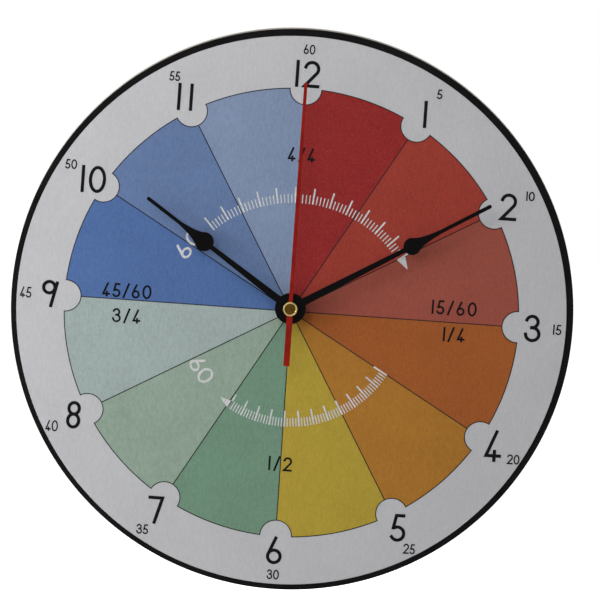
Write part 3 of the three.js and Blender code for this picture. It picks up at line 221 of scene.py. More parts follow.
class ClockDialSettings(bpy.types.PropertyGroup):
    """Sizes and colours of the board and its printed dial"""

    rim_ease: length_mm("Board edge", "Rounding of the board's edges", 0.5)
    sheet_sides: IntProperty(name="Sides", description="Sides of the round sheets", default=240)
    pie_radius: length_mm("Pie radius", "Radius of the coloured sectors", 120.7)
    notch_radius: length_mm("Notch radius", "Radius of the pale notch at each hour", 8.15)
    line_width: length_mm("Line width", "Width of the dark line round a sector", 0.54)
    hour_stroke: length_mm("Hour stroke", "Stroke of the hour numbers", 1.76)
    minute_stroke: length_mm("Minute stroke", "Stroke of the minute numbers", 0.78)
    mark_stroke: length_mm("Mark stroke", "Stroke of the marks on the sectors", 1.05)
    paper: tint("Paper", "Colour of the paper", (0.442, 0.442, 0.456))
    board_paint: tint("Board paint", "Black paint of the board", (0.0046, 0.0042, 0.0044))
    raw_edge: tint("Raw edge", "Unpainted side of the board", (0.30, 0.278, 0.235))
    ink: tint("Ink", "Ink of the numbers", (0.0062, 0.0062, 0.0074))
    line_ink: tint("Line ink", "Ink of the sector outlines", (0.016, 0.017, 0.017))
    pale_ink: tint("Pale ink", "Pale ink of the curved marks", (0.50, 0.51, 0.51))
    sector_1: sector_tint("12 to 1", (0.238, 0.0188, 0.018))
    sector_2: sector_tint("1 to 2", (0.276, 0.0374, 0.0251))
    sector_3: sector_tint("2 to 3", (0.271, 0.0658, 0.0454))
    sector_4: sector_tint("3 to 4", (0.295, 0.0843, 0.0188))
    sector_5: sector_tint("4 to 5", (0.343, 0.149, 0.0223))
    sector_6: sector_tint("5 to 6", (0.371, 0.27, 0.0349))
    sector_7: sector_tint("6 to 7", (0.138, 0.241, 0.167))
    sector_8: sector_tint("7 to 8", (0.237, 0.313, 0.252))
    sector_9: sector_tint("8 to 9", (0.292, 0.353, 0.344))
    sector_10: sector_tint("9 to 10", (0.0661, 0.126, 0.297))
    sector_11: sector_tint("10 to 11", (0.106, 0.161, 0.3))
    sector_12: sector_tint("11 to 12", (0.179, 0.234, 0.349))


class ClockHandSettings(bpy.types.PropertyGroup):
    """Sizes and colours of the hands and their fixings"""

    edge: length_mm("Edge", "Rounding of the hands' edges", 0.08)
    boss: length_mm("Boss", "Radius of the round boss of a hand", 8.22)
    lacquer: tint("Black lacquer", "Hour and minute hand", (0.0018, 0.0018, 0.0018))
    red_lacquer: tint("Red lacquer", "Second hand", (0.22, 0.010, 0.006))
    brass: tint("Brass", "Bush, nut and head", (0.78, 0.52, 0.17))
    thread_pitch: length_mm("Thread pitch", "Pitch of the bush's thread", 0.75)
    head_rim: length_mm("Head rim", "Width of the raised rim of the brass head", 0.8)


class ClockMovementSettings(bpy.types.PropertyGroup):
    """Sizes and colours of the movement behind the dial"""

    bend: length_mm("Bend", "Outer radius of the hanger's bends", 1.1)
    mark_depth: length_mm("Mark depth", "Depth of the moulded marks", 0.3)
    case: tint("Case", "Black moulded plastic", (0.020, 0.021, 0.023))
    steel: tint("Steel", "Zinc-plated steel", (0.58, 0.59, 0.62))
    sleeve: tint("Sleeve", "Sleeve of the battery", (0.045, 0.075, 0.13))


class ClockStageSettings(bpy.types.PropertyGroup):
    """Camera, lamps and floor"""

    distance: FloatProperty(
        name="Distance", description="From the dial to the camera", default=8.0, unit="LENGTH"
    )
    elevation: view_angle("Elevation", "Height of the camera's view", 4.4)
    roll: view_angle("Roll", "How far the clock leans clockwise in the view", 3.97)
    view_width: length_mm("View width", "Width seen at the dial", 319.87)
    target_x: length_mm("Target X", "Middle of the view, right of the board's middle", 4.1)
    target_z: length_mm("Target Z", "Middle of the view, above the board's middle", 1.72)
    key_power: lamp_power("Key lamp", "at the upper left", 8.0)
    left_power: lamp_power("Left lamp", "low at the left", 7.2)
    fill_power: lamp_power("Fill lamp", "at the right", 2.4)
    back_power: lamp_power("Back lamp", "behind the clock", 26.0)
    room_light: FloatProperty(
        name="Room light", description="Strength of the light from all round", default=0.295
    )
    floor_drop: length_mm("Floor", "How far the floor lies below the axis", 300.0)


# Selecting and shaping


def begin():
    """Leaves edit mode and deselects everything."""
    if bpy.context.object and bpy.context.object.mode != "OBJECT":
        bpy.ops.object.mode_set(mode="OBJECT")
    bpy.ops.object.select_all(action="DESELECT")


def pick(*pieces):
    begin()
    for piece in pieces:
        piece.select_set(True)
    bpy.context.view_layer.objects.active = pieces[0]


def name_new(name):
    piece = bpy.context.object
    piece.name = name
    piece.data.name = name
    return piece


def edit(piece, kind, test=None):
    """Goes into edit mode with the chosen vertices, edges or faces selected, or all of them."""
    pick(piece)
    bpy.ops.object.mode_set(mode="EDIT")
    bpy.ops.mesh.select_mode(type=kind)
    bpy.ops.mesh.select_all(action="DESELECT" if test else "SELECT")
    if test:
        shape = bmesh.from_edit_mesh(piece.data)
        parts = {"VERT": shape.verts, "EDGE": shape.edges, "FACE": shape.faces}[kind]
        for part in parts:
            if test(part):
                part.select_set(True)
        shape.select_flush_mode()
        bmesh.update_edit_mesh(piece.data)


def leave():
    bpy.ops.object.mode_set(mode="OBJECT")


def disc(name, radius, front, back, centre=(0.0, 0.0), sides=96):
    """A round slab with its axis along Y."""
    begin()
    bpy.ops.mesh.primitive_cylinder_add(
        vertices=sides,
        radius=radius * MM,
        depth=(back - front) * MM,
        location=(centre[0] * MM, (front + back) / 2 * MM, centre[1] * MM),
        rotation=(math.pi / 2, 0, 0),
    )
    bpy.ops.object.transform_apply(location=True, rotation=True, scale=True)
    return name_new(name)


def block(name, left, right, front, back, foot, top):
    begin()
    bpy.ops.mesh.primitive_cube_add(
        size=1,
        location=((left + right) / 2 * MM, (front + back) / 2 * MM, (foot + top) / 2 * MM),
        scale=((right - left) * MM, (back - front) * MM, (top - foot) * MM),
    )
    bpy.ops.object.transform_apply(location=True, rotation=True, scale=True)
    return name_new(name)


def modify(piece, kind, **settings):
    """Adds a modifier to a piece and applies it."""
    pick(piece)
    bpy.ops.object.modifier_add(type=kind)
    modifier = piece.modifiers[-1]
    for key, value in settings.items():
        setattr(modifier, key, value)
    bpy.ops.object.modifier_apply(modifier=modifier.name)


def combine(piece, tool, operation="DIFFERENCE"):
    """Cuts one piece by another, or joins or crosses them, and uses the other up."""
    modify(piece, "BOOLEAN", operation=operation, solver="EXACT", object=tool)
    bpy.data.objects.remove(tool, do_unlink=True)


def bore(piece, radius, front, back, centre=(0, 0), sides=48):
    """Cuts a round hole along Y that runs past both faces."""
    combine(piece, disc("hole", radius, front - 1, back + 1, centre, sides))


def soften(piece, width, segments=2, angle=35):
    """Rounds every edge that is sharper than the angle, and smooths the shading."""
    modify(
        piece,
        "BEVEL",
        width=width * MM,
        segments=segments,
        limit_method="ANGLE",
        angle_limit=math.radians(angle),
        use_clamp_overlap=True,
    )
    smooth(piece, 40)


def smooth(piece, angle):
    """Smooth shading up to an angle, with the broad faces kept flat."""
    pick(piece)
    bpy.ops.object.shade_smooth_by_angle(angle=math.radians(angle))
    modify(piece, "WEIGHTED_NORMAL", keep_sharp=True, weight=100)


def bevel_chosen(piece, test, width, segments):
    edit(piece, "EDGE", test)
    bpy.ops.mesh.bevel(offset=width * MM, segments=segments, affect="EDGES", clamp_overlap=True)
    leave()


def inset(thickness, depth=0.0):
    bpy.ops.mesh.inset(thickness=thickness * MM, depth=depth * MM)


def extrude(x=0.0, y=0.0):
    bpy.ops.mesh.extrude_region_move(TRANSFORM_OT_translate={"value": (x * MM, y * MM, 0)})


def is_level(edge):
    """True of an edge whose ends lie at the same depth."""
    return abs(edge.verts[0].co.y - edge.verts[1].co.y) < 1e-6


def lies_at(edge, depth, slack=0.01):
    """True of an edge that lies at a depth, in millimetres along Y."""
    return all(abs(v.co.y / MM - depth) < slack for v in edge.verts)


def tidy(piece):
    """Merges doubles and points the faces outwards."""
    edit(piece, "VERT")
    bpy.ops.mesh.remove_doubles(threshold=1e-7)
    bpy.ops.mesh.normals_make_consistent(inside=False)
    leave()


def thicken(piece, thickness=0.02):
    """Turns a flat strip into a closed film, as thin as ink if nothing else is said."""
    tidy(piece)
    modify(piece, "SOLIDIFY", thickness=thickness * MM, offset=0)
    tidy(piece)


def join_pieces(name, pieces):
    pick(*pieces)
    if len(pieces) > 1:
        bpy.ops.object.join()
    return name_new(name)


def copy_piece(piece, name, place=Matrix.Identity(4)):
    """A copy with its own mesh, with its place worked into the mesh."""
    made = piece.copy()
    made.data = piece.data.copy()
    made.name = name
    made.data.name = name
    bpy.context.scene.collection.objects.link(made)
    made.data.transform(place)
    return made


def copy_node(name, node, keep_flat=0.6):
    """A merged copy of a CAD node's mesh, ready to be given softer edges."""
    made = bpy.data.objects.new(name, frame["nodes"][node].data.copy())
    bpy.context.scene.collection.objects.link(made)
    edit(made, "VERT")
    bpy.ops.mesh.remove_doubles(threshold=2e-6)
    bpy.ops.mesh.dissolve_limited(angle_limit=math.radians(keep_flat))
    leave()
    made.data.materials.clear()
    return made


def stand_for(piece, node, material, *more):
    """The piece rides with the node's body, stands for it, and takes its finish."""
    paint(piece, material, *more)
    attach(piece, BODY_OF[node])
    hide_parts(node)


def print_on_dial(piece, material):
    paint(piece, material)
    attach(piece, "clock_body")


def paint(piece, *materials):
    """Gives a piece its materials, the first one for the faces that keep slot zero."""
    while len(piece.data.materials) < len(materials):
        piece.data.materials.append(None)
    for index, material in enumerate(materials):
        piece.data.materials[index] = material


def paint_faces(piece, index, test):
    """Gives the chosen faces the piece's material of that index."""
    while len(piece.data.materials) <= index:
        piece.data.materials.append(None)
    for face in piece.data.polygons:
        if test(face):
            face.material_index = index


# Strokes of ink: numbers and marks are drawn as by a pen with a flat tip


def arc_points(centre, radii, start, end, steps):
    """Points on an ellipse between two angles, in degrees anticlockwise from the right."""
    points = []
    for i in range(steps + 1):
        angle = math.radians(start + (end - start) * i / steps)
        points.append((centre[0] + radii[0] * math.cos(angle), centre[1] + radii[1] * math.sin(angle)))
    return points


def ring_points(centre, radii, steps=28):
    return arc_points(centre, radii, 90, 450, steps)[:-1]


# Each number as strokes on a grid one unit high: a list of (points, closed)
TWO_HOOK = arc_points((0.27, 0.725), (0.275, 0.275), 165, -38, 20)
FIVE_BELLY = arc_points((0.225, 0.265), (0.262, 0.267), 122, -148, 22)
DIGITS = {
    "0": [(ring_points((0.292, 0.5), (0.292, 0.5), 36), True)],
    "1": [([(0.0, 0.0), (0.0, 1.0)], False)],
    "2": [(TWO_HOOK + [(0.0, 0.0), (0.556, 0.0)], False)],
    "3": [
        (arc_points((0.25, 0.765), (0.235, 0.235), 162, -88, 20), False),
        (arc_points((0.28, 0.265), (0.275, 0.265), 88, -176, 22), False),
        ([(0.24, 0.53), (0.27, 0.53)], False),
    ],
    "4": [
        ([(0.327, 1.0), (0.0, 0.155), (0.471, 0.155)], False),
        ([(0.288, 0.31), (0.288, 0.0)], False),
    ],
    "5": [([(0.44, 1.0), (0.148, 1.0), (0.05, 0.49)] + FIVE_BELLY, False)],
    "6": [
        (ring_points((0.254, 0.254), (0.254, 0.254)), True),
        ([(0.285, 1.0), (0.019, 0.350)], False),
    ],
    "7": [([(0.0, 1.0), (0.51, 1.0), (0.235, 0.0)], False)],
    "8": [
        (ring_points((0.233, 0.765), (0.212, 0.235)), True),
        (ring_points((0.226, 0.265), (0.226, 0.265)), True),
    ],
    "9": [
        (ring_points((0.238, 0.762), (0.238, 0.238)), True),
        ([(0.555, 0.955), (0.345, 0.0)], False),
    ],
    "/": [([(0.0, -0.04), (0.36, 1.04)], False)],
}
digit_blanks = {}


def offsets(points, closed):
    """The sideways unit step at each point of a path, lengthened where the path turns."""
    count = len(points)
    steps = []
    for i in range(count):
        before = points[i - 1] if (i or closed) else None
        after = points[(i + 1) % count] if (i < count - 1 or closed) else None
        normals = []
        for first, second in ((before, points[i]), (points[i], after)):
            if first is None or second is None:
                continue
            along = Vector((second[0] - first[0], second[1] - first[1])).normalized()
            normals.append(Vector((-along.y, along.x)))
        if len(normals) == 1:
            steps.append(normals[0])
        else:
            steps.append((normals[0] + normals[1]) / (1 + normals[0].dot(normals[1])))
    return steps


def lengthen(end, neighbour, width):
    """Moves a path's end out by half the width, as a pen's square tip reaches past it."""
    end = Vector(end)
    return tuple(end + (end - Vector(neighbour)).normalized() * width / 2)


def lay_strip(points, widths, level, closed=False):
    """A flat strip along a path of X and Z: a grid one cell wide, laid along it point by point."""
    if not closed:
        first = lengthen(points[0], points[1], widths[0])
        last = lengthen(points[-1], points[-2], widths[-1])
        points = [first] + list(points[1:-1]) + [last]
    sideways = offsets(points, closed)
    cells = len(points) if closed else len(points) - 1
    begin()
    bpy.ops.mesh.primitive_grid_add(x_subdivisions=cells, y_subdivisions=1, size=1)
    strip = bpy.context.object
    for row, side in ((0, -0.5), (1, 0.5)):
        for i in range(cells + 1):
            at = i % len(points)
            step = sideways[at] * widths[min(at, len(widths) - 1)] * side
            strip.data.vertices[row * (cells + 1) + i].co = (
                (points[at][0] + step.x) * MM,
                level * MM,
                (points[at][1] + step.y) * MM,
            )
    return strip


def digit_blank(digit, height, stroke):
    """One digit at the origin, drawn once for each size."""
    key = (digit, round(height, 3), stroke)
    if key not in digit_blanks:
        unit = height - stroke
        strips = []
        for order, (points, closed) in enumerate(DIGITS[digit]):
            placed = [(x * unit + stroke / 2, z * unit + stroke / 2) for x, z in points]
            strips.append(lay_strip(placed, [stroke], -0.004 * order, closed))
        blank = join_pieces("digit_" + str(len(digit_blanks)), strips)
        thicken(blank)
        digit_blanks[key] = blank
    return digit_blanks[key]


def digit_width(digit, height, stroke):
    xs = [x for points, _ in DIGITS[digit] for x, _ in points]
    return (max(xs) - min(xs)) * (height - stroke) + stroke


def draw_numbers(name, table, stroke, level):
    """Draws a table's numbers from edge to edge, with digits narrowed where they would touch."""
    pieces = []
    for text, left, right, foot, top in table:
        height = top - foot
        gaps = len(text) - 1
        widths = [digit_width(digit, height, stroke) for digit in text]
        breadth = 1.0
        if gaps:
            breadth = min(1.0, (right - left - gaps * DIGIT_GAP * stroke) / sum(widths))
        widths = [width * breadth for width in widths]
        gap = (right - left - sum(widths)) / max(1, gaps)
        x = left if gaps else (left + right - widths[0]) / 2
        for digit, width in zip(text, widths):
            blank = digit_blank(digit, height, stroke)
            spot = Vector((BOARD_MIDDLE[0] + x, PAPER_FRONT - level, BOARD_MIDDLE[1] + foot))
            place = Matrix.Translation(spot * MM) @ Matrix.Diagonal((breadth, 1.0, 1.0, 1.0))
            pieces.append(copy_piece(blank, name + "_" + str(len(pieces)), place))
            x += width + gap
    return join_pieces(name, pieces)


def clear_blanks():
    for blank in digit_blanks.values():
        bpy.data.objects.remove(blank, do_unlink=True)
    digit_blanks.clear()


# Materials


def new_material(name):
    material = bpy.data.materials.new(name)
    material.use_nodes = True
    tree = material.node_tree
    return material, tree, tree.nodes["Principled BSDF"]


def feed(tree, socket, value):
    """Gives a socket another node's output, or a value of its own."""
    if isinstance(value, bpy.types.NodeSocket):
        tree.links.new(value, socket)
    elif socket.type == "RGBA":
        socket.default_value = (value[0], value[1], value[2], 1.0)
    else:
        socket.default_value = value


def add_node(tree, kind, inputs=(), **settings):
    made = tree.nodes.new(kind)
    for key, value in settings.items():
        setattr(made, key, value)
    for key, value in dict(inputs).items():
        feed(tree, made.inputs[key], value)
    return made


def place_on(tree, stretch=(1, 1, 1), middle=(0, 0, 0), turn=(0, 0, 0)):
    """Object coordinates in metres, moved to a middle, turned and stretched."""
    coords = add_node(tree, "ShaderNodeTexCoord").outputs["Object"]
    moved = [-m * s for m, s in zip(middle, stretch)]
    inputs = {"Vector": coords, "Location": moved, "Rotation": turn, "Scale": stretch}
    return add_node(tree, "ShaderNodeMapping", inputs, vector_type="POINT").outputs["Vector"]


def noise(tree, size, detail=2.0, roughness=0.5, stretch=(1, 1, 1), middle=(0, 0, 0)):
    """Noise whose features are about the given size, in millimetres."""
    inputs = {
        "Vector": place_on(tree, stretch, middle),
        "Scale": 1000.0 / size,
        "Detail": detail,
        "Roughness": roughness,
    }
    return add_node(tree, "ShaderNodeTexNoise", inputs).outputs["Fac"]


def waves(tree, size, distortion, detail, detail_scale, **way):
    """Even ridges; each is 2 pi times as broad as the given size, in millimetres."""
    inputs = {
        "Vector": place_on(tree),
        "Scale": 1000.0 / size / 20.0,
        "Distortion": distortion,
        "Detail": detail,
        "Detail Scale": detail_scale,
    }
    return add_node(tree, "ShaderNodeTexWave", inputs, **way).outputs["Fac"]


def spread(tree, value, low, high, to_low=0.0, to_high=1.0):
    """Stretches the values between low and high over another range, and cuts off the rest."""
    inputs = {
        "Value": value,
        "From Min": low,
        "From Max": high,
        "To Min": to_low,
        "To Max": to_high,
    }
    return add_node(tree, "ShaderNodeMapRange", inputs).outputs["Result"]


def calc(tree, operation, first, second):
    made = add_node(tree, "ShaderNodeMath", {0: first, 1: second}, operation=operation)
    return made.outputs["Value"]


def weighed_sum(tree, *parts):
    """Adds up patterns, each times its share."""
    total = None
    for pattern, share in parts:
        part = calc(tree, "MULTIPLY", pattern, share)
        total = part if total is None else calc(tree, "ADD", total, part)
    return total


def blend_colours(tree, share, first, second):
    made = add_node(tree, "ShaderNodeMix", {0: share}, data_type="RGBA")
    sockets = [s for s in made.inputs if s.type == "RGBA"]
    for socket, value in zip(sockets, (first, second)):
        feed(tree, socket, value)
    return [s for s in made.outputs if s.type == "RGBA"][0]


def shade(colour, factor):
    return [min(1.0, c * factor) for c in colour[:3]]


def uneven(tree, pattern, colour, first, last, low=0.35, high=0.65):
    """A colour that goes from one shade of it to another as a pattern rises from low to high."""
    share = spread(tree, pattern, low, high)
    return blend_colours(tree, share, shade(colour, first), shade(colour, last))


def gloss(tree, pattern, low, high):
    """A roughness that follows a pattern from one value to another."""
    return spread(tree, pattern, 0.3, 0.7, low, high)


def dress(tree, shader, colour, roughness, specular=0.5, metallic=0.0):
    """Sets how a surface takes the light."""
    feed(tree, shader.inputs["Base Color"], colour)
    feed(tree, shader.inputs["Roughness"], roughness)
    feed(tree, shader.inputs["Specular IOR Level"], specular)
    feed(tree, shader.inputs["Metallic"], metallic)


def bump(tree, shader, height, distance, strength):
    """Lets a pattern stand out of a surface, by up to a distance in millimetres."""
    inputs = {"Height": height, "Distance": distance * MM, "Strength": strength}
    made = add_node(tree, "ShaderNodeBump", inputs)
    tree.links.new(made.outputs["Normal"], shader.inputs["Normal"])


def printed_paper(name, colour, grain=1.0):
    """Matt printed paper: upright fibre streaks, fine grain, and a few pale specks."""
    material, tree, shader = new_material(name)
    streaks = noise(tree, 1.0, 3.0, 0.6, (1, 1, 0.35))
    cloud = noise(tree, 26.0)
    fine = noise(tree, 0.9, 2.0, 0.7)
    mixed = weighed_sum(tree, (streaks, 0.42), (fine, 0.4), (cloud, 0.18))
    body = uneven(tree, mixed, colour, 1 - 0.14 * grain, 1 + 0.14 * grain, 0.36, 0.64)
    cells = noise(tree, 0.5, 1.0, stretch=(1, 1, 0.8), middle=(3 * MM, 0, 5 * MM))
    speck = spread(tree, cells, 0.56, 0.8, 0.0, 0.09 * grain)
    pale = [c + (0.75 - c) * 0.5 for c in colour[:3]]
    dress(tree, shader, blend_colours(tree, speck, body, pale), gloss(tree, fine, 0.8, 0.94), 0.1)
    bump(tree, shader, mixed, 0.03, 0.5)
    return material


def plain_ink(name, colour, roughness=0.7):
    """Ink on paper: the fibres show through as slight unevenness."""
    material, tree, shader = new_material(name)
    fine = noise(tree, 0.5, 3.0, 0.6, (1, 1, 0.5))
    body = uneven(tree, fine, colour, 0.8, 1.25)
    dress(tree, shader, body, gloss(tree, fine, roughness - 0.08, roughness + 0.08), 0.06)
    bump(tree, shader, fine, 0.01, 0.4)
    return material


def painted_board(name, colour):
    """Matt black paint rolled on fibreboard, with fine dust."""
    material, tree, shader = new_material(name)
    fine = noise(tree, 0.7, 3.0, 0.6)
    body = uneven(tree, noise(tree, 16.0), colour, 0.75, 1.4)
    inputs = {"Vector": place_on(tree), "Scale": 260.0, "Randomness": 1.0}
    dust = add_node(tree, "ShaderNodeTexVoronoi", inputs)
    speck = spread(tree, dust.outputs["Distance"], 0.03, 0.09, 0.25, 0.0)
    dusty = blend_colours(tree, speck, body, (0.05, 0.05, 0.05))
    dress(tree, shader, dusty, gloss(tree, fine, 0.5, 0.68), 0.06)
    bump(tree, shader, fine, 0.04, 0.6)
    return material


def raw_fibreboard(name, colour):
    """The unpainted side of the board: pressed fibres in layers that run round it."""
    material, tree, shader = new_material(name)
    layers = noise(tree, 0.8, 4.0, 0.65, (0.25, 1.6, 0.25))
    mixed = weighed_sum(tree, (layers, 0.6), (noise(tree, 0.4, 3.0, 0.7), 0.4))
    dress(tree, shader, uneven(tree, mixed, colour, 0.72, 1.2), 0.92, 0.2)
    bump(tree, shader, mixed, 0.12, 0.8)
    return material


def lacquer(name, colour, roughness=0.42):
    """Sprayed lacquer on sheet metal, with a faint orange-peel skin."""
    material, tree, shader = new_material(name)
    peel = noise(tree, 0.55)
    body = uneven(tree, noise(tree, 9.0), colour, 0.85, 1.15)
    dress(tree, shader, body, gloss(tree, peel, roughness - 0.07, roughness + 0.1), 0.06)
    bump(tree, shader, peel, 0.02, 0.35)
    return material


def turned_metal(name, colour, roughness=0.24, ridge=0.12):
    """Metal turned on a lathe about an axis along Y: fine rings, and a little tarnish."""
    material, tree, shader = new_material(name)
    rings = waves(tree, ridge, 0.6, 2.0, 2.0, wave_type="RINGS", rings_direction="Y")
    tarnish = noise(tree, 2.2, 4.0, 0.6)
    body = uneven(tree, tarnish, colour, 1.0, 0.6, 0.38, 0.68)
    dress(tree, shader, body, gloss(tree, tarnish, roughness, roughness + 0.16), metallic=1.0)
    bump(tree, shader, rings, 0.008, 0.5)
    return material


def rolled_metal(name, colour, roughness, stretch=(1, 1, 0.06), metallic=1.0):
    """Sheet metal with rolling lines along one way and a mottled plated skin."""
    material, tree, shader = new_material(name)
    lines = noise(tree, 0.28, 3.0, 0.6, stretch)
    mixed = weighed_sum(tree, (lines, 0.55), (noise(tree, 3.2, 3.0, 0.6), 0.45))
    body = uneven(tree, mixed, colour, 0.78, 1.12)
    dress(tree, shader, body, gloss(tree, mixed, roughness, roughness + 0.18), metallic=metallic)
    bump(tree, shader, lines, 0.01, 0.4)
    return material


def moulded_plastic(name, colour, roughness=0.5, texture=0.35, depth=0.035):
    """Injection-moulded plastic with a spark-eroded texture and handling marks."""
    material, tree, shader = new_material(name)
    rubbed = noise(tree, 11.0, 4.0, 0.6)
    body = uneven(tree, rubbed, colour, 0.85, 1.2, 0.35, 0.68)
    dress(tree, shader, body, gloss(tree, rubbed, roughness + 0.08, roughness - 0.08))
    bump(tree, shader, noise(tree, texture, 3.0, 0.65), depth, 0.6)
    return material


def rubber(name):
    """Black rubber with a dull bloom."""
    material, tree, shader = new_material(name)
    bloom = spread(tree, noise(tree, 5.0, 3.0), 0.4, 0.7)
    body = blend_colours(tree, bloom, (0.012, 0.012, 0.012), (0.03, 0.03, 0.029))
    dress(tree, shader, body, 0.85)
    bump(tree, shader, noise(tree, 0.6, 3.0, 0.6), 0.03, 0.7)
    return material


def copper_winding(name):
    """Fine enamelled wire wound round X: close, uneven ridges, with painted shade darkening the copper
    in the grooves between the wires.
    """
    material, tree, shader = new_material(name)
    turn_ridges_and_shade = waves(tree, 0.16, 1.2, 1.0, 0.6, wave_type="BANDS", bands_direction="X")
    # Painted shade: the colour runs from copper on each ridge to near black in the groove beside it
    body = blend_colours(tree, turn_ridges_and_shade, (0.16, 0.045, 0.014), (0.62, 0.25, 0.09))
    dress(tree, shader, body, 0.32, metallic=1.0)
    bump(tree, shader, turn_ridges_and_shade, 0.05, 0.8)
    return material


def circuit_laminate(name):
    """Green solder mask with paler copper tracks beneath it."""
    material, tree, shader = new_material(name)
    inputs = {
        "Vector": place_on(tree, turn=(math.pi / 2, 0, 0)),
        "Scale": 260.0,
        "Mortar Size": 0.055,
        "Mortar Smooth": 0.1,
        "Color1": (0.018, 0.10, 0.035),
        "Color2": (0.014, 0.085, 0.03),
        "Mortar": (0.05, 0.24, 0.08),
    }
    tracks = add_node(tree, "ShaderNodeTexBrick", inputs)
    dress(tree, shader, tracks.outputs["Color"], 0.34)
    bump(tree, shader, tracks.outputs["Fac"], 0.03, 0.5)
    return material


def shrunk_sleeve(name, colour, right):
    """A plastic sleeve with a pale band near its right end, and pale beyond the band."""
    material, tree, shader = new_material(name)
    coords = add_node(tree, "ShaderNodeTexCoord").outputs["Object"]
    x = add_node(tree, "ShaderNodeSeparateXYZ", {"Vector": coords}).outputs["X"]
    from_band = calc(tree, "GREATER_THAN", x, (right - 12.0) * MM)
    before_end = calc(tree, "LESS_THAN", x, (right - 10.6) * MM)
    past_band = calc(tree, "GREATER_THAN", x, (right - 10.6) * MM)
    wear = noise(tree, 1.2, 3.0, 0.6, (0.2, 1, 1))
    end = blend_colours(tree, past_band, uneven(tree, wear, colour, 0.8, 1.25), (0.50, 0.50, 0.49))
    band = calc(tree, "MULTIPLY", from_band, before_end)
    striped = blend_colours(tree, band, end, (0.62, 0.60, 0.52))
    dress(tree, shader, striped, gloss(tree, wear, 0.28, 0.42))
    bump(tree, shader, wear, 0.02, 0.3)
    return material


# Operators: one for each group of like pieces


class CLOCK_OT_board(bpy.types.Operator):
    """Makes the round fibreboard and the paper disc on it"""

    bl_idname = "clock.board"
    bl_label = "Board and Paper"

    def execute(self, context):
        dial = context.scene.clock_dial
        front, back = front_of("dial_board"), back_of("dial_board")
        radius = width_of("dial_board") / 2
        board = disc("board", radius, front, back, BOARD_MIDDLE, dial.sheet_sides)
        bore(board, BUSH_BORE, front, back)

        def on_rim(edge):
            away = [Vector((v.co.x, v.co.z)) / MM - Vector(BOARD_MIDDLE) for v in edge.verts]
            return is_level(edge) and min(step.length for step in away) > radius - 1

        bevel_chosen(board, on_rim, dial.rim_ease, 3)
        # The face is painted over the rounded front edge; the side and the back stay raw
        paint_faces(board, 1, lambda face: face.normal.y > -0.3)
        smooth(board, 40)
        paint_coat = painted_board("black_board_paint", dial.board_paint)
        stand_for(board, "dial_board", paint_coat, raw_fibreboard("raw_fibreboard", dial.raw_edge))

        middle = middle_of("dial_print")
        radius = width_of("dial_print") / 2
        sheet = disc("paper_disc", radius, PAPER_FRONT, front, middle, dial.sheet_sides)
        bore(sheet, BUSH_BORE, PAPER_FRONT, front)
        soften(sheet, 0.07)
        stand_for(sheet, "dial_print", printed_paper("dial_paper", dial.paper, 0.55))
        return {"FINISHED"}


class CLOCK_OT_sectors(bpy.types.Operator):
    """Prints the twelve coloured sectors over their dark outline"""

    bl_idname = "clock.sectors"
    bl_label = "Coloured Sectors"

    def notch_spot(self, hour):
        """The middle of an hour's notch: on the line from the crossing, at the ring of notches."""
        angle = math.radians(30 * hour)
        along = Vector((math.sin(angle), math.cos(angle)))
        crossing = Vector(CROSSING)
        return along * NOTCH_RING + crossing - along * crossing.dot(along)

    def notched_film(self, name, radius, film, notch, sides):
        """A round film of ink with a round notch at each hour."""
        made = disc(name, radius, PAPER_FRONT - film[0], PAPER_FRONT - film[1], sides=sides)
        for hour in range(12):
            bore(made, notch, PAPER_FRONT, PAPER_FRONT, self.notch_spot(hour), 64)
        return made

    def set_down(self, film):
        """Moves a film to its place on the paper, as the press left it, and bares the hub."""
        stretch = Matrix.Diagonal((PIE_STRETCH[0], 1, PIE_STRETCH[1], 1))
        stretch[0][2] = stretch[2][0] = PIE_SKEW
        middle = (PIE_MIDDLE[0] * MM, 0, PIE_MIDDLE[1] * MM)
        film.data.transform(Matrix.Translation(middle) @ stretch)
        bore(film, BARE_ROUND, PAPER_FRONT, PAPER_FRONT, sides=64)

    def execute(self, context):
        dial = context.scene.clock_dial
        reach, notch, gap = dial.pie_radius, dial.notch_radius, dial.line_width
        sides = dial.sheet_sides
        outline = self.notched_film("sector_outline", reach, OUTLINE_FILM, notch, sides)
        self.set_down(outline)
        print_on_dial(outline, plain_ink("outline_ink", dial.line_ink))

        pie = self.notched_film("pie", reach - gap, SECTOR_FILM, notch + gap, sides)
        for hour in range(12):
            number = hour + 1
            sector = copy_piece(pie, "sector_%02d" % number)
            for line, side in ((hour, 1), (number, -1)):
                angle = math.radians(30 * line)
                across = Vector((math.cos(angle), 0, -math.sin(angle))) * side
                foot = (Vector((CROSSING[0], 0, CROSSING[1])) + across * gap / 2) * MM
                edit(sector, "FACE")
                bpy.ops.mesh.bisect(plane_co=foot, plane_no=across, use_fill=True, clear_inner=True)
                leave()
            self.set_down(sector)
            colour = getattr(dial, "sector_%d" % number)
            print_on_dial(sector, printed_paper("sector_ink_%02d" % number, colour))
        bpy.data.objects.remove(pie, do_unlink=True)
        return {"FINISHED"}


class CLOCK_OT_numbers(bpy.types.Operator):
    """Draws the hour and minute numbers and the fractions of the hour"""

    bl_idname = "clock.numbers"
    bl_label = "Numbers"

    def execute(self, context):
        dial = context.scene.clock_dial
        ink = plain_ink("number_ink", dial.ink)
        for name, table, stroke, level in (
            ("hour_numbers", HOUR_NUMBERS, dial.hour_stroke, NUMBER_LEVEL),
            ("minute_numbers", MINUTE_NUMBERS, dial.minute_stroke, NUMBER_LEVEL),
            ("sector_marks", SECTOR_MARKS, dial.mark_stroke, MARK_LEVEL),
        ):
            print_on_dial(draw_numbers(name, table, stroke, level), ink)
        clear_blanks()
        return {"FINISHED"}


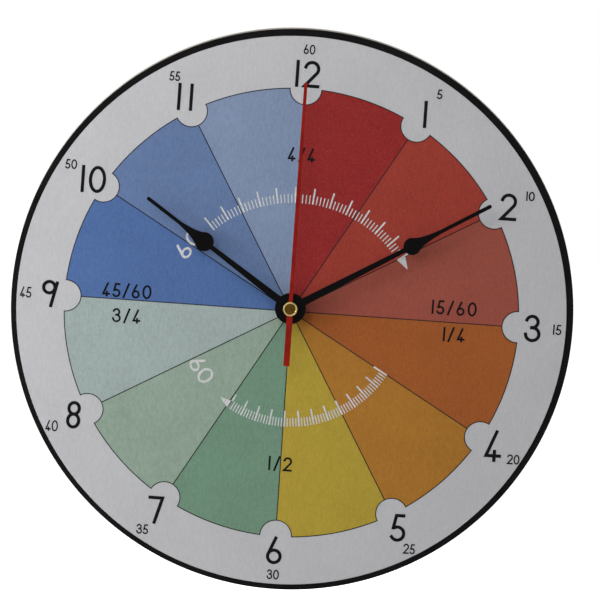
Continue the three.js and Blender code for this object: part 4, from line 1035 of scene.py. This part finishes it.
class CLOCK_OT_curved_scales(bpy.types.Operator):
    """Draws the two pale curved scales: a 60, sixty steps, and an arrow the way the hands go"""

    bl_idname = "clock.curved_scales"
    bl_label = "Curved Scales"

    def on_arc(self, arc, bearing):
        """The place on an arc's foot line at a bearing, with up leading away from its feet."""
        centre, radius, feet_out = arc
        angle = math.radians(bearing)
        x, z = centre[0] + radius * math.sin(angle), centre[1] + radius * math.cos(angle)
        turn = Matrix.Rotation(angle + (math.pi if feet_out else 0), 4, "Y")
        return Matrix.Translation(Vector((x, 0, z)) * MM) @ turn

    def curved_number(self, text, arc, bearing, stroke, level):
        """Digits set side by side along an arc, beginning at a bearing."""
        pieces = []
        step = -1 if arc[2] else 1
        for digit in text:
            width = digit_width(digit, CURVED_HEIGHT, stroke) * CURVED_BREADTH
            middle = bearing + step * math.degrees(width / 2 / arc[1])
            lift = Matrix.Translation(Vector((-width / 2, level, 0)) * MM)
            place = self.on_arc(arc, middle) @ lift @ Matrix.Diagonal((CURVED_BREADTH, 1, 1, 1))
            blank = digit_blank(digit, CURVED_HEIGHT, stroke)
            pieces.append(copy_piece(blank, "curved_digit", place))
            bearing += step * math.degrees((width + CURVED_GAP) / arc[1])
        return pieces

    def execute(self, context):
        dial = context.scene.clock_dial
        level = PAPER_FRONT - MARK_LEVEL
        blanks = []
        for width, height in STEP_MARKS:
            ends = [(0, width / 2), (0, height - width / 2)]
            blanks.append(lay_strip(ends, [width], level))
        reach, middle = ARROW_LENGTH / 2, ARROW_HEIGHT / 2
        ends = [(-reach, middle), (reach, middle)]
        blanks.append(lay_strip(ends, [ARROW_HEIGHT, 0.15], level))
        for blank in blanks:
            thicken(blank)
        small, large, arrow = blanks
        pieces = []
        for *arc, number_at, first, step, head_at in CURVED_SCALES:
            pieces += self.curved_number("60", arc, number_at, dial.mark_stroke, level)
            for i in range(61):
                mark = small if i % 5 else large
                pieces.append(copy_piece(mark, "step", self.on_arc(arc, first + step * i)))
            flip = Matrix.Diagonal((-1 if arc[2] else 1, 1, 1, 1))
            pieces.append(copy_piece(arrow, "head", self.on_arc(arc, head_at) @ flip))
        for blank in blanks:
            bpy.data.objects.remove(blank, do_unlink=True)
        scales = join_pieces("curved_scales", pieces)
        tidy(scales)
        print_on_dial(scales, plain_ink("pale_ink", dial.pale_ink, 0.8))
        clear_blanks()
        return {"FINISHED"}


class CLOCK_OT_fixings(bpy.types.Operator):
    """Makes the threaded bush, the nut, the washer and the rubber seal"""

    bl_idname = "clock.fixings"
    bl_label = "Bush, Nut and Washers"

    def ring(self, name, node, material, ease, segments):
        """A flat ring as wide as the node, with a hole that clears the bush."""
        front, back = front_of(node), back_of(node)
        made = disc(name, width_of(node) / 2, front, back)
        bore(made, BUSH_BORE, front, back)
        soften(made, ease, segments)
        stand_for(made, node, material)

    def execute(self, context):
        hands = context.scene.clock_hands
        brass = turned_metal("turned_brass", hands.brass)
        nut_front, nut_back = front_of("dial_nut"), back_of("dial_nut")
        nut = copy_node("hexagon_nut", "dial_nut")
        corner = width_of("dial_nut") / 2
        chamfer = disc("chamfer", corner + 0.02, nut_front, nut_back, sides=72)
        bevel_chosen(chamfer, is_level, width=0.75, segments=1)
        combine(nut, chamfer, "INTERSECT")
        soften(nut, 0.06, 2, 20)
        stand_for(nut, "dial_nut", brass)
        self.ring("brass_washer", "dial_washer", brass, 0.12, 2)

        bush = copy_node("threaded_pipe", "threaded_bush")
        pitch = hands.thread_pitch
        crest, root, half = 4.4, 3.72, pitch * 0.3
        level = front_of("threaded_bush") + 0.35
        while level < nut_front - 0.05:
            groove = disc("groove", crest, level - half, level + half, sides=48)
            combine(groove, disc("core", root, level - pitch, level + pitch, sides=48))
            combine(bush, groove)
            level += pitch
        soften(bush, 0.06)
        stand_for(bush, "threaded_bush", brass)
        self.ring("seal_ring", "rubber_washer", rubber("seal_rubber"), 0.3, 3)
        return {"FINISHED"}


class CLOCK_OT_hands(bpy.types.Operator):
    """Rounds and lacquers the two spade hands, and finishes the pipes that carry them"""

    bl_idname = "clock.hands"
    bl_label = "Hour and Minute Hand"

    def execute(self, context):
        hands = context.scene.clock_hands
        black = lacquer("black_lacquer", hands.lacquer)
        ring_width, overlap = 3.0, 0.02
        for name, node, distance, bearing, radius in HAND_BULBS:
            blade = copy_node(name, node, 0.2)
            front, back = front_of(node), back_of(node)
            ring = disc("boss", hands.boss, front, back)
            bore(ring, hands.boss - ring_width, front, back, sides=96)
            angle = math.radians(bearing)
            spot = (distance * math.sin(angle), distance * math.cos(angle))
            combine(blade, ring, "UNION")
            combine(blade, disc("bulb", radius + overlap, front, back, spot), "UNION")
            edit(blade, "FACE")
            bpy.ops.mesh.dissolve_limited(angle_limit=math.radians(0.2))
            leave()
            soften(blade, hands.edge)
            stand_for(blade, node, black)
        nodes = frame["nodes"]
        paint(nodes["minute_pipe"], turned_metal("pipe_brass", hands.brass, 0.3))
        paint(nodes["hour_wheel"], moulded_plastic("hour_wheel_plastic", PALE_PLASTIC, 0.45))
        return {"FINISHED"}


class CLOCK_OT_second_hand(bpy.types.Operator):
    """Makes the red second hand and its brass head"""

    bl_idname = "clock.second_hand"
    bl_label = "Second Hand"

    def execute(self, context):
        hands = context.scene.clock_hands
        blade = copy_node("red_blade", "second_hand", 0.2)
        soften(blade, 0.06)
        stand_for(blade, "second_hand", lacquer("red_lacquer", hands.red_lacquer, 0.4))

        front, back = front_of("second_hand_bush"), back_of("second_hand_bush")
        radius = width_of("second_hand_bush") / 2
        plate, tube, arbor, dish = 1.0, 1.2, 0.53, 0.3
        head = disc("brass_head", radius, front, front + plate, sides=72)
        edit(head, "FACE", lambda face: face.normal.y < -0.9)
        inset(hands.head_rim)
        inset(0.12, -dish)
        leave()
        edit(head, "FACE", lambda face: face.normal.y > 0.9)
        inset(radius - tube)
        extrude(y=back - front - plate)
        leave()
        combine(head, disc("bore", arbor, front + plate, back + 1, sides=24))
        bevel_chosen(head, lambda edge: lies_at(edge, front, 0.02), 0.38, 5)

        def in_dish(face):
            depth = face.center.y / MM - front
            return face.normal.y < -0.9 and dish - 0.1 < depth < 2 * dish

        paint_faces(head, 1, in_dish)
        smooth(head, 50)
        bright = turned_metal("head_brass", (0.84, 0.63, 0.25), 0.16, 0.1)
        dark = turned_metal("head_dish", (0.115, 0.062, 0.012), 0.5, 0.1)
        stand_for(head, "second_hand_bush", bright, dark)
        paint(frame["nodes"]["second_arbor"], turned_metal("arbor_steel", (0.56, 0.57, 0.6), 0.25))
        return {"FINISHED"}


class CLOCK_OT_hanger(bpy.types.Operator):
    """Bends and plates the steel hanger"""

    bl_idname = "clock.hanger"
    bl_label = "Hanger"

    def execute(self, context):
        movement = context.scene.clock_movement
        hanger = copy_node("hanger_plate", "hanger")
        tab_front = back_of("hanger") - HANGER_SHEET
        foot_back = front_of("hanger") + HANGER_SHEET
        shelf_foot = corners_of("movement_case")[1].z + 0.5
        shelf_top = shelf_foot + HANGER_SHEET
        outside = ((foot_back - HANGER_SHEET, shelf_top), (tab_front + HANGER_SHEET, shelf_foot))
        inside = ((foot_back, shelf_foot), (tab_front, shelf_top))

        def on_bend(edge, corners):
            first, second = edge.verts[0].co / MM, edge.verts[1].co / MM
            if abs(first.y - second.y) > 0.01 or abs(first.z - second.z) > 0.01:
                return False
            return any(abs(first.y - y) < 0.05 and abs(first.z - z) < 0.05 for y, z in corners)

        bend = movement.bend
        bevel_chosen(hanger, lambda edge: on_bend(edge, outside), bend, 5)
        bevel_chosen(hanger, lambda edge: on_bend(edge, inside), bend - HANGER_SHEET, 4)
        soften(hanger, 0.1, 2, 50)
        stand_for(hanger, "hanger", rolled_metal("zinc_plate", movement.steel, 0.3))
        return {"FINISHED"}


class CLOCK_OT_case(bpy.types.Operator):
    """Finishes the movement case and its rear cover, with the moulded marks"""

    bl_idname = "clock.case"
    bl_label = "Movement Case"

    def arrows(self, centre, radius, depth):
        """Two curved arrows round the setting knob, that cut into the cover's outer face."""
        tools = []
        radii = (radius, radius)
        for start in (15.0, 195.0):
            end = start + 100.0
            tools.append(lay_strip(arc_points(centre, radii, start, end, 12), [0.7], 0))
            tools.append(lay_strip(arc_points(centre, radii, end, end + 24.0, 1), [2.3, 0.1], 0))
        for tool in tools:
            thicken(tool, 2 * depth)
        return tools

    def execute(self, context):
        movement = context.scene.clock_movement
        case = copy_node("case_shell", "movement_case")
        low, high = corners_of("movement_case")
        wall = 2.05

        def on_front_rim(edge):
            spots = [v.co / MM for v in edge.verts]
            gaps = [min(p.x - low.x, high.x - p.x, p.z - low.z, high.z - p.z) for p in spots]
            return max(gaps) < wall and lies_at(edge, low.y)

        bevel_chosen(case, on_front_rim, 0.6, 3)
        # Four shallow pockets for the latches, two in each side wall
        bite, front, back, reach = 0.35, low.y + 4.0, -2.4, 2.4
        for left, right in ((low.x - 1, low.x + bite), (high.x - bite, high.x + 1)):
            for z in (8.0, 18.0):
                combine(case, block("latch", left, right, front, back, z - reach, z + reach))
        smooth(case, 35)
        stand_for(case, "movement_case", moulded_plastic("case_plastic", movement.case))

        cover = copy_node("rear_cover", "movement_back")
        depth = movement.mark_depth
        tools = self.arrows(middle_of("set_knob"), 7.6, depth)
        panel = block("panel", left=-22.0, right=4.0, front=-0.35, back=1.0, foot=9.0, top=24.0)
        bevel_chosen(panel, lambda edge: not is_level(edge), 1.5, 5)
        tools.append(panel)
        # A minus at the left end of the cell and a plus at its right end
        low, high = corners_of("movement_back")
        minus, plus, z = low.x + 4.5, high.x - 4.5, low.z + 3.55
        reach, half = 1.6, 0.35
        for x in (minus, plus):
            tools.append(block("bar", x - reach, x + reach, -depth, 1.0, z - half, z + half))
        tools.append(block("upright", plus - half, plus + half, -depth, 1.0, z - reach, z + reach))
        for spot in ((-24.5, 4.5), (24.5, 24.5)):
            tools.append(disc("ejector", radius=1.6, front=-0.15, back=1.0, centre=spot, sides=32))
        for tool in tools:
            combine(cover, tool)
        soften(cover, 0.12, 2, 50)
        stand_for(cover, "movement_back", moulded_plastic("cover_plastic", movement.case, 0.46, 0.3))
        return {"FINISHED"}


class CLOCK_OT_knob(bpy.types.Operator):
    """Finishes the setting knob"""

    bl_idname = "clock.knob"
    bl_label = "Setting Knob"

    def execute(self, context):
        movement = context.scene.clock_movement
        knob = copy_node("setting_knob", "set_knob")
        back = back_of("set_knob")
        bevel_chosen(knob, lambda edge: lies_at(edge, back), 0.15, 2)
        smooth(knob, 30)
        plastic = moulded_plastic("knob_plastic", shade(movement.case, 1.6), 0.42, 0.25)
        stand_for(knob, "set_knob", plastic)
        return {"FINISHED"}


class CLOCK_OT_battery(bpy.types.Operator):
    """Makes the battery in its sleeve, and finishes its contacts"""

    bl_idname = "clock.battery"
    bl_label = "Battery and Contacts"

    def execute(self, context):
        movement = context.scene.clock_movement
        low, high = corners_of("battery")
        radius = (high.z - low.z) / 2
        nub = 1.2
        length = high.x - low.x - nub
        axis = Vector((low.x + length / 2, (low.y + high.y) / 2, (low.z + high.z) / 2))
        begin()
        bpy.ops.mesh.primitive_cylinder_add(
            vertices=64,
            radius=radius * MM,
            depth=length * MM,
            location=axis * MM,
            rotation=(0, math.pi / 2, 0),
        )
        bpy.ops.object.transform_apply(location=True, rotation=True, scale=True)
        cell = name_new("battery_cell_sleeved")
        # Each end, from the sleeve's rim inwards: how far in, and how far out of the cell
        edit(cell, "FACE", lambda face: face.normal.x > 0.9)
        inset(0.9)
        inset(0.15, -0.35)
        inset(radius - 1.05 - 3.4)
        inset(0.35, 0.35)
        inset(0.4)
        extrude(x=nub)
        leave()
        edit(cell, "FACE", lambda face: face.normal.x < -0.9)
        inset(1.0)
        inset(0.15, -0.25)
        inset(1.6)
        inset(0.3, 0.22)
        leave()
        soften(cell, 0.22, 3, 40)

        def bare(face):
            spot = face.center / MM
            away = math.hypot(spot.y - axis.y, spot.z - axis.z)
            at_end = abs(spot.x - axis.x) > length / 2 - 0.6
            return at_end and away < radius - 0.75

        paint_faces(cell, 1, bare)
        sleeve = shrunk_sleeve("cell_sleeve", movement.sleeve, low.x + length)
        steel = turned_metal("cell_steel", (0.62, 0.62, 0.63), 0.28)
        stand_for(cell, "battery", sleeve, steel)
        steel = rolled_metal("contact_steel", (0.66, 0.65, 0.62), 0.26)
        for name, node in (
            ("positive_plate", "battery_contact_positive"),
            ("negative_leaf", "battery_contact_negative"),
        ):
            strip = copy_node(name, node)
            soften(strip, 0.06, 2, 40)
            stand_for(strip, node, steel)
        return {"FINISHED"}


class CLOCK_OT_inner_parts(bpy.types.Operator):
    """Finishes the train, the motor and the circuit inside the case"""

    bl_idname = "clock.inner_parts"
    bl_label = "Train and Circuit"

    def execute(self, context):
        brass = context.scene.clock_hands.brass
        wheels = moulded_plastic("wheel_plastic", PALE_PLASTIC, 0.45, 0.3, 0.02)
        along = (0.06, 1, 1)
        finishes = {
            "rotor_pinion": wheels,
            "intermediate_wheel": wheels,
            "second_wheel": wheels,
            "third_wheel": wheels,
            "motion_wheel": wheels,
            "gear_bridge": wheels,
            "coil_bobbin": wheels,
            "centre_wheel": turned_metal("wheel_brass", brass, 0.3),
            "clutch_spring": turned_metal("spring_steel", (0.5, 0.5, 0.53), 0.3),
            "rotor_magnet": rolled_metal("sintered_magnet", (0.07, 0.07, 0.08), 0.55, (1, 1, 1), 0.6),
            "stator": rolled_metal("stator_iron", (0.34, 0.34, 0.36), 0.4, along),
            "coil_core": rolled_metal("core_iron", (0.32, 0.32, 0.34), 0.4, along),
            "coil_winding": copper_winding("copper_winding"),
            "circuit_board": circuit_laminate("circuit_laminate"),
            "driver_chip": moulded_plastic("chip_resin", (0.012, 0.012, 0.012), 0.4, 0.2, 0.02),
            "quartz_crystal": rolled_metal("crystal_can", (0.62, 0.62, 0.63), 0.22, (0.05, 1, 1)),
        }
        for node, material in finishes.items():
            paint(frame["nodes"][node], material)
        return {"FINISHED"}


class CLOCK_OT_stage(bpy.types.Operator):
    """Sets up the floor, the lamps, the white surroundings and the camera"""

    bl_idname = "clock.stage"
    bl_label = "Stage"

    def white_to_eye(self, tree):
        """One where the camera looks straight at the surface, and about a third for a mirror."""
        path = add_node(tree, "ShaderNodeLightPath")
        mirror = calc(tree, "MULTIPLY", path.outputs["Is Glossy Ray"], 0.35)
        return calc(tree, "MAXIMUM", path.outputs["Is Camera Ray"], mirror)

    def surround(self, scene, room_light):
        """White all round: bright to the camera, and dimmer as a light on the clock."""
        world = bpy.data.worlds.new("studio_white")
        world.use_nodes = True
        tree = world.node_tree
        sky = tree.nodes["Background"]
        feed(tree, sky.inputs["Color"], (1.0, 1.0, 1.0))
        strength = spread(tree, self.white_to_eye(tree), 0.0, 1.0, room_light, 1.0)
        feed(tree, sky.inputs["Strength"], strength)
        scene.world = world

    def lay_floor(self, drop):
        """A pale floor that goes over into the white, at a drop in millimetres below the axis."""
        begin()
        bpy.ops.mesh.primitive_plane_add(size=9.0, location=(0, 0, -drop * MM))
        floor = name_new("studio_floor")
        material, tree, shader = new_material("studio_floor_white")
        greys = (0.44, 0.44, 0.44), (0.48, 0.48, 0.48)
        dress(tree, shader, blend_colours(tree, noise(tree, 240.0), *greys), 0.9, 0.0)
        # Up to half a metre from the clock the floor keeps its shadow, and past 1.1 m it is white
        away = add_node(tree, "ShaderNodeVectorMath", {0: place_on(tree)}, operation="LENGTH")
        fade = spread(tree, away.outputs["Value"], 0.5, 1.1, 0.54, 1.0)
        strength = calc(tree, "MULTIPLY", self.white_to_eye(tree), fade)
        inputs = {"Color": (1.0, 1.0, 1.0), "Strength": strength}
        glow = add_node(tree, "ShaderNodeEmission", inputs).outputs["Emission"]
        both = add_node(tree, "ShaderNodeAddShader", {0: shader.outputs["BSDF"], 1: glow})
        feed(tree, tree.nodes["Material Output"].inputs["Surface"], both.outputs["Shader"])
        paint(floor, material)

    def hang_lamp(self, name, place, size, power):
        """A square lamp that shines at the middle of the clock; sizes in metres."""
        begin()
        bpy.ops.object.light_add(type="AREA", location=place)
        lamp = bpy.context.object
        lamp.name = name
        lamp.data.size = size
        lamp.data.energy = power
        lamp.rotation_euler = (-Vector(place)).to_track_quat("-Z", "Y").to_euler()

    def set_camera(self, scene, stage):
        """A long lens that looks a little down at the dial, turned so that the clock leans."""
        out = Vector((0, -math.cos(stage.elevation), math.sin(stage.elevation)))
        target = Vector((
            (BOARD_MIDDLE[0] + stage.target_x) * MM,
            front_of("dial_board") * MM,
            (BOARD_MIDDLE[1] + stage.target_z) * MM,
        ))
        begin()
        bpy.ops.object.camera_add(location=target + out * stage.distance)
        camera = bpy.context.object
        camera.name = "camera"
        look = (-out).to_track_quat("-Z", "Y").to_matrix()
        camera.rotation_euler = (look @ Matrix.Rotation(stage.roll, 3, "Z")).to_euler()
        sensor = 36.0
        camera.data.sensor_fit = "HORIZONTAL"
        camera.data.sensor_width = sensor
        camera.data.lens = sensor * stage.distance / (stage.view_width * MM)
        camera.data.clip_end = 100.0
        scene.camera = camera

    def execute(self, context):
        scene = context.scene
        stage = scene.clock_stage
        self.surround(scene, stage.room_light)
        self.lay_floor(stage.floor_drop)
        for name, place, size, power in LAMPS:
            self.hang_lamp(name, place, size, getattr(stage, power))
        self.set_camera(scene, stage)
        scene.view_settings.view_transform = "Standard"
        return {"FINISHED"}


# Panel and registration


SETTINGS = {
    "clock_dial": ClockDialSettings,
    "clock_hands": ClockHandSettings,
    "clock_movement": ClockMovementSettings,
    "clock_stage": ClockStageSettings,
}
OPERATORS = (
    CLOCK_OT_board,
    CLOCK_OT_sectors,
    CLOCK_OT_numbers,
    CLOCK_OT_curved_scales,
    CLOCK_OT_fixings,
    CLOCK_OT_hands,
    CLOCK_OT_second_hand,
    CLOCK_OT_hanger,
    CLOCK_OT_case,
    CLOCK_OT_knob,
    CLOCK_OT_battery,
    CLOCK_OT_inner_parts,
    CLOCK_OT_stage,
)


class CLOCK_PT_panel(bpy.types.Panel):
    """Lists the steps of the clock"""

    bl_idname = "CLOCK_PT_panel"
    bl_label = "Teaching Clock"
    bl_space_type = "VIEW_3D"
    bl_region_type = "UI"
    bl_category = "Clock"

    def draw(self, context):
        for operator in OPERATORS:
            self.layout.operator(operator.bl_idname)
        for group in SETTINGS:
            settings = getattr(context.scene, group)
            box = self.layout.box()
            for name in settings.__annotations__:
                box.prop(settings, name)


def register():
    for name, group in SETTINGS.items():
        bpy.utils.register_class(group)
        setattr(bpy.types.Scene, name, PointerProperty(type=group))
    for operator in OPERATORS:
        bpy.utils.register_class(operator)
    bpy.utils.register_class(CLOCK_PT_panel)


def unregister():
    bpy.utils.unregister_class(CLOCK_PT_panel)
    for operator in reversed(OPERATORS):
        bpy.utils.unregister_class(operator)
    for name, group in reversed(SETTINGS.items()):
        delattr(bpy.types.Scene, name)
        bpy.utils.unregister_class(group)


def main():
    register()
    bpy.ops.clock.board()
    bpy.ops.clock.sectors()
    bpy.ops.clock.numbers()
    bpy.ops.clock.curved_scales()
    bpy.ops.clock.fixings()
    bpy.ops.clock.hands()
    bpy.ops.clock.second_hand()
    bpy.ops.clock.hanger()
    bpy.ops.clock.case()
    bpy.ops.clock.knob()
    bpy.ops.clock.battery()
    bpy.ops.clock.inner_parts()
    bpy.ops.clock.stage()
    begin()


if __name__ == "__main__":
    main()
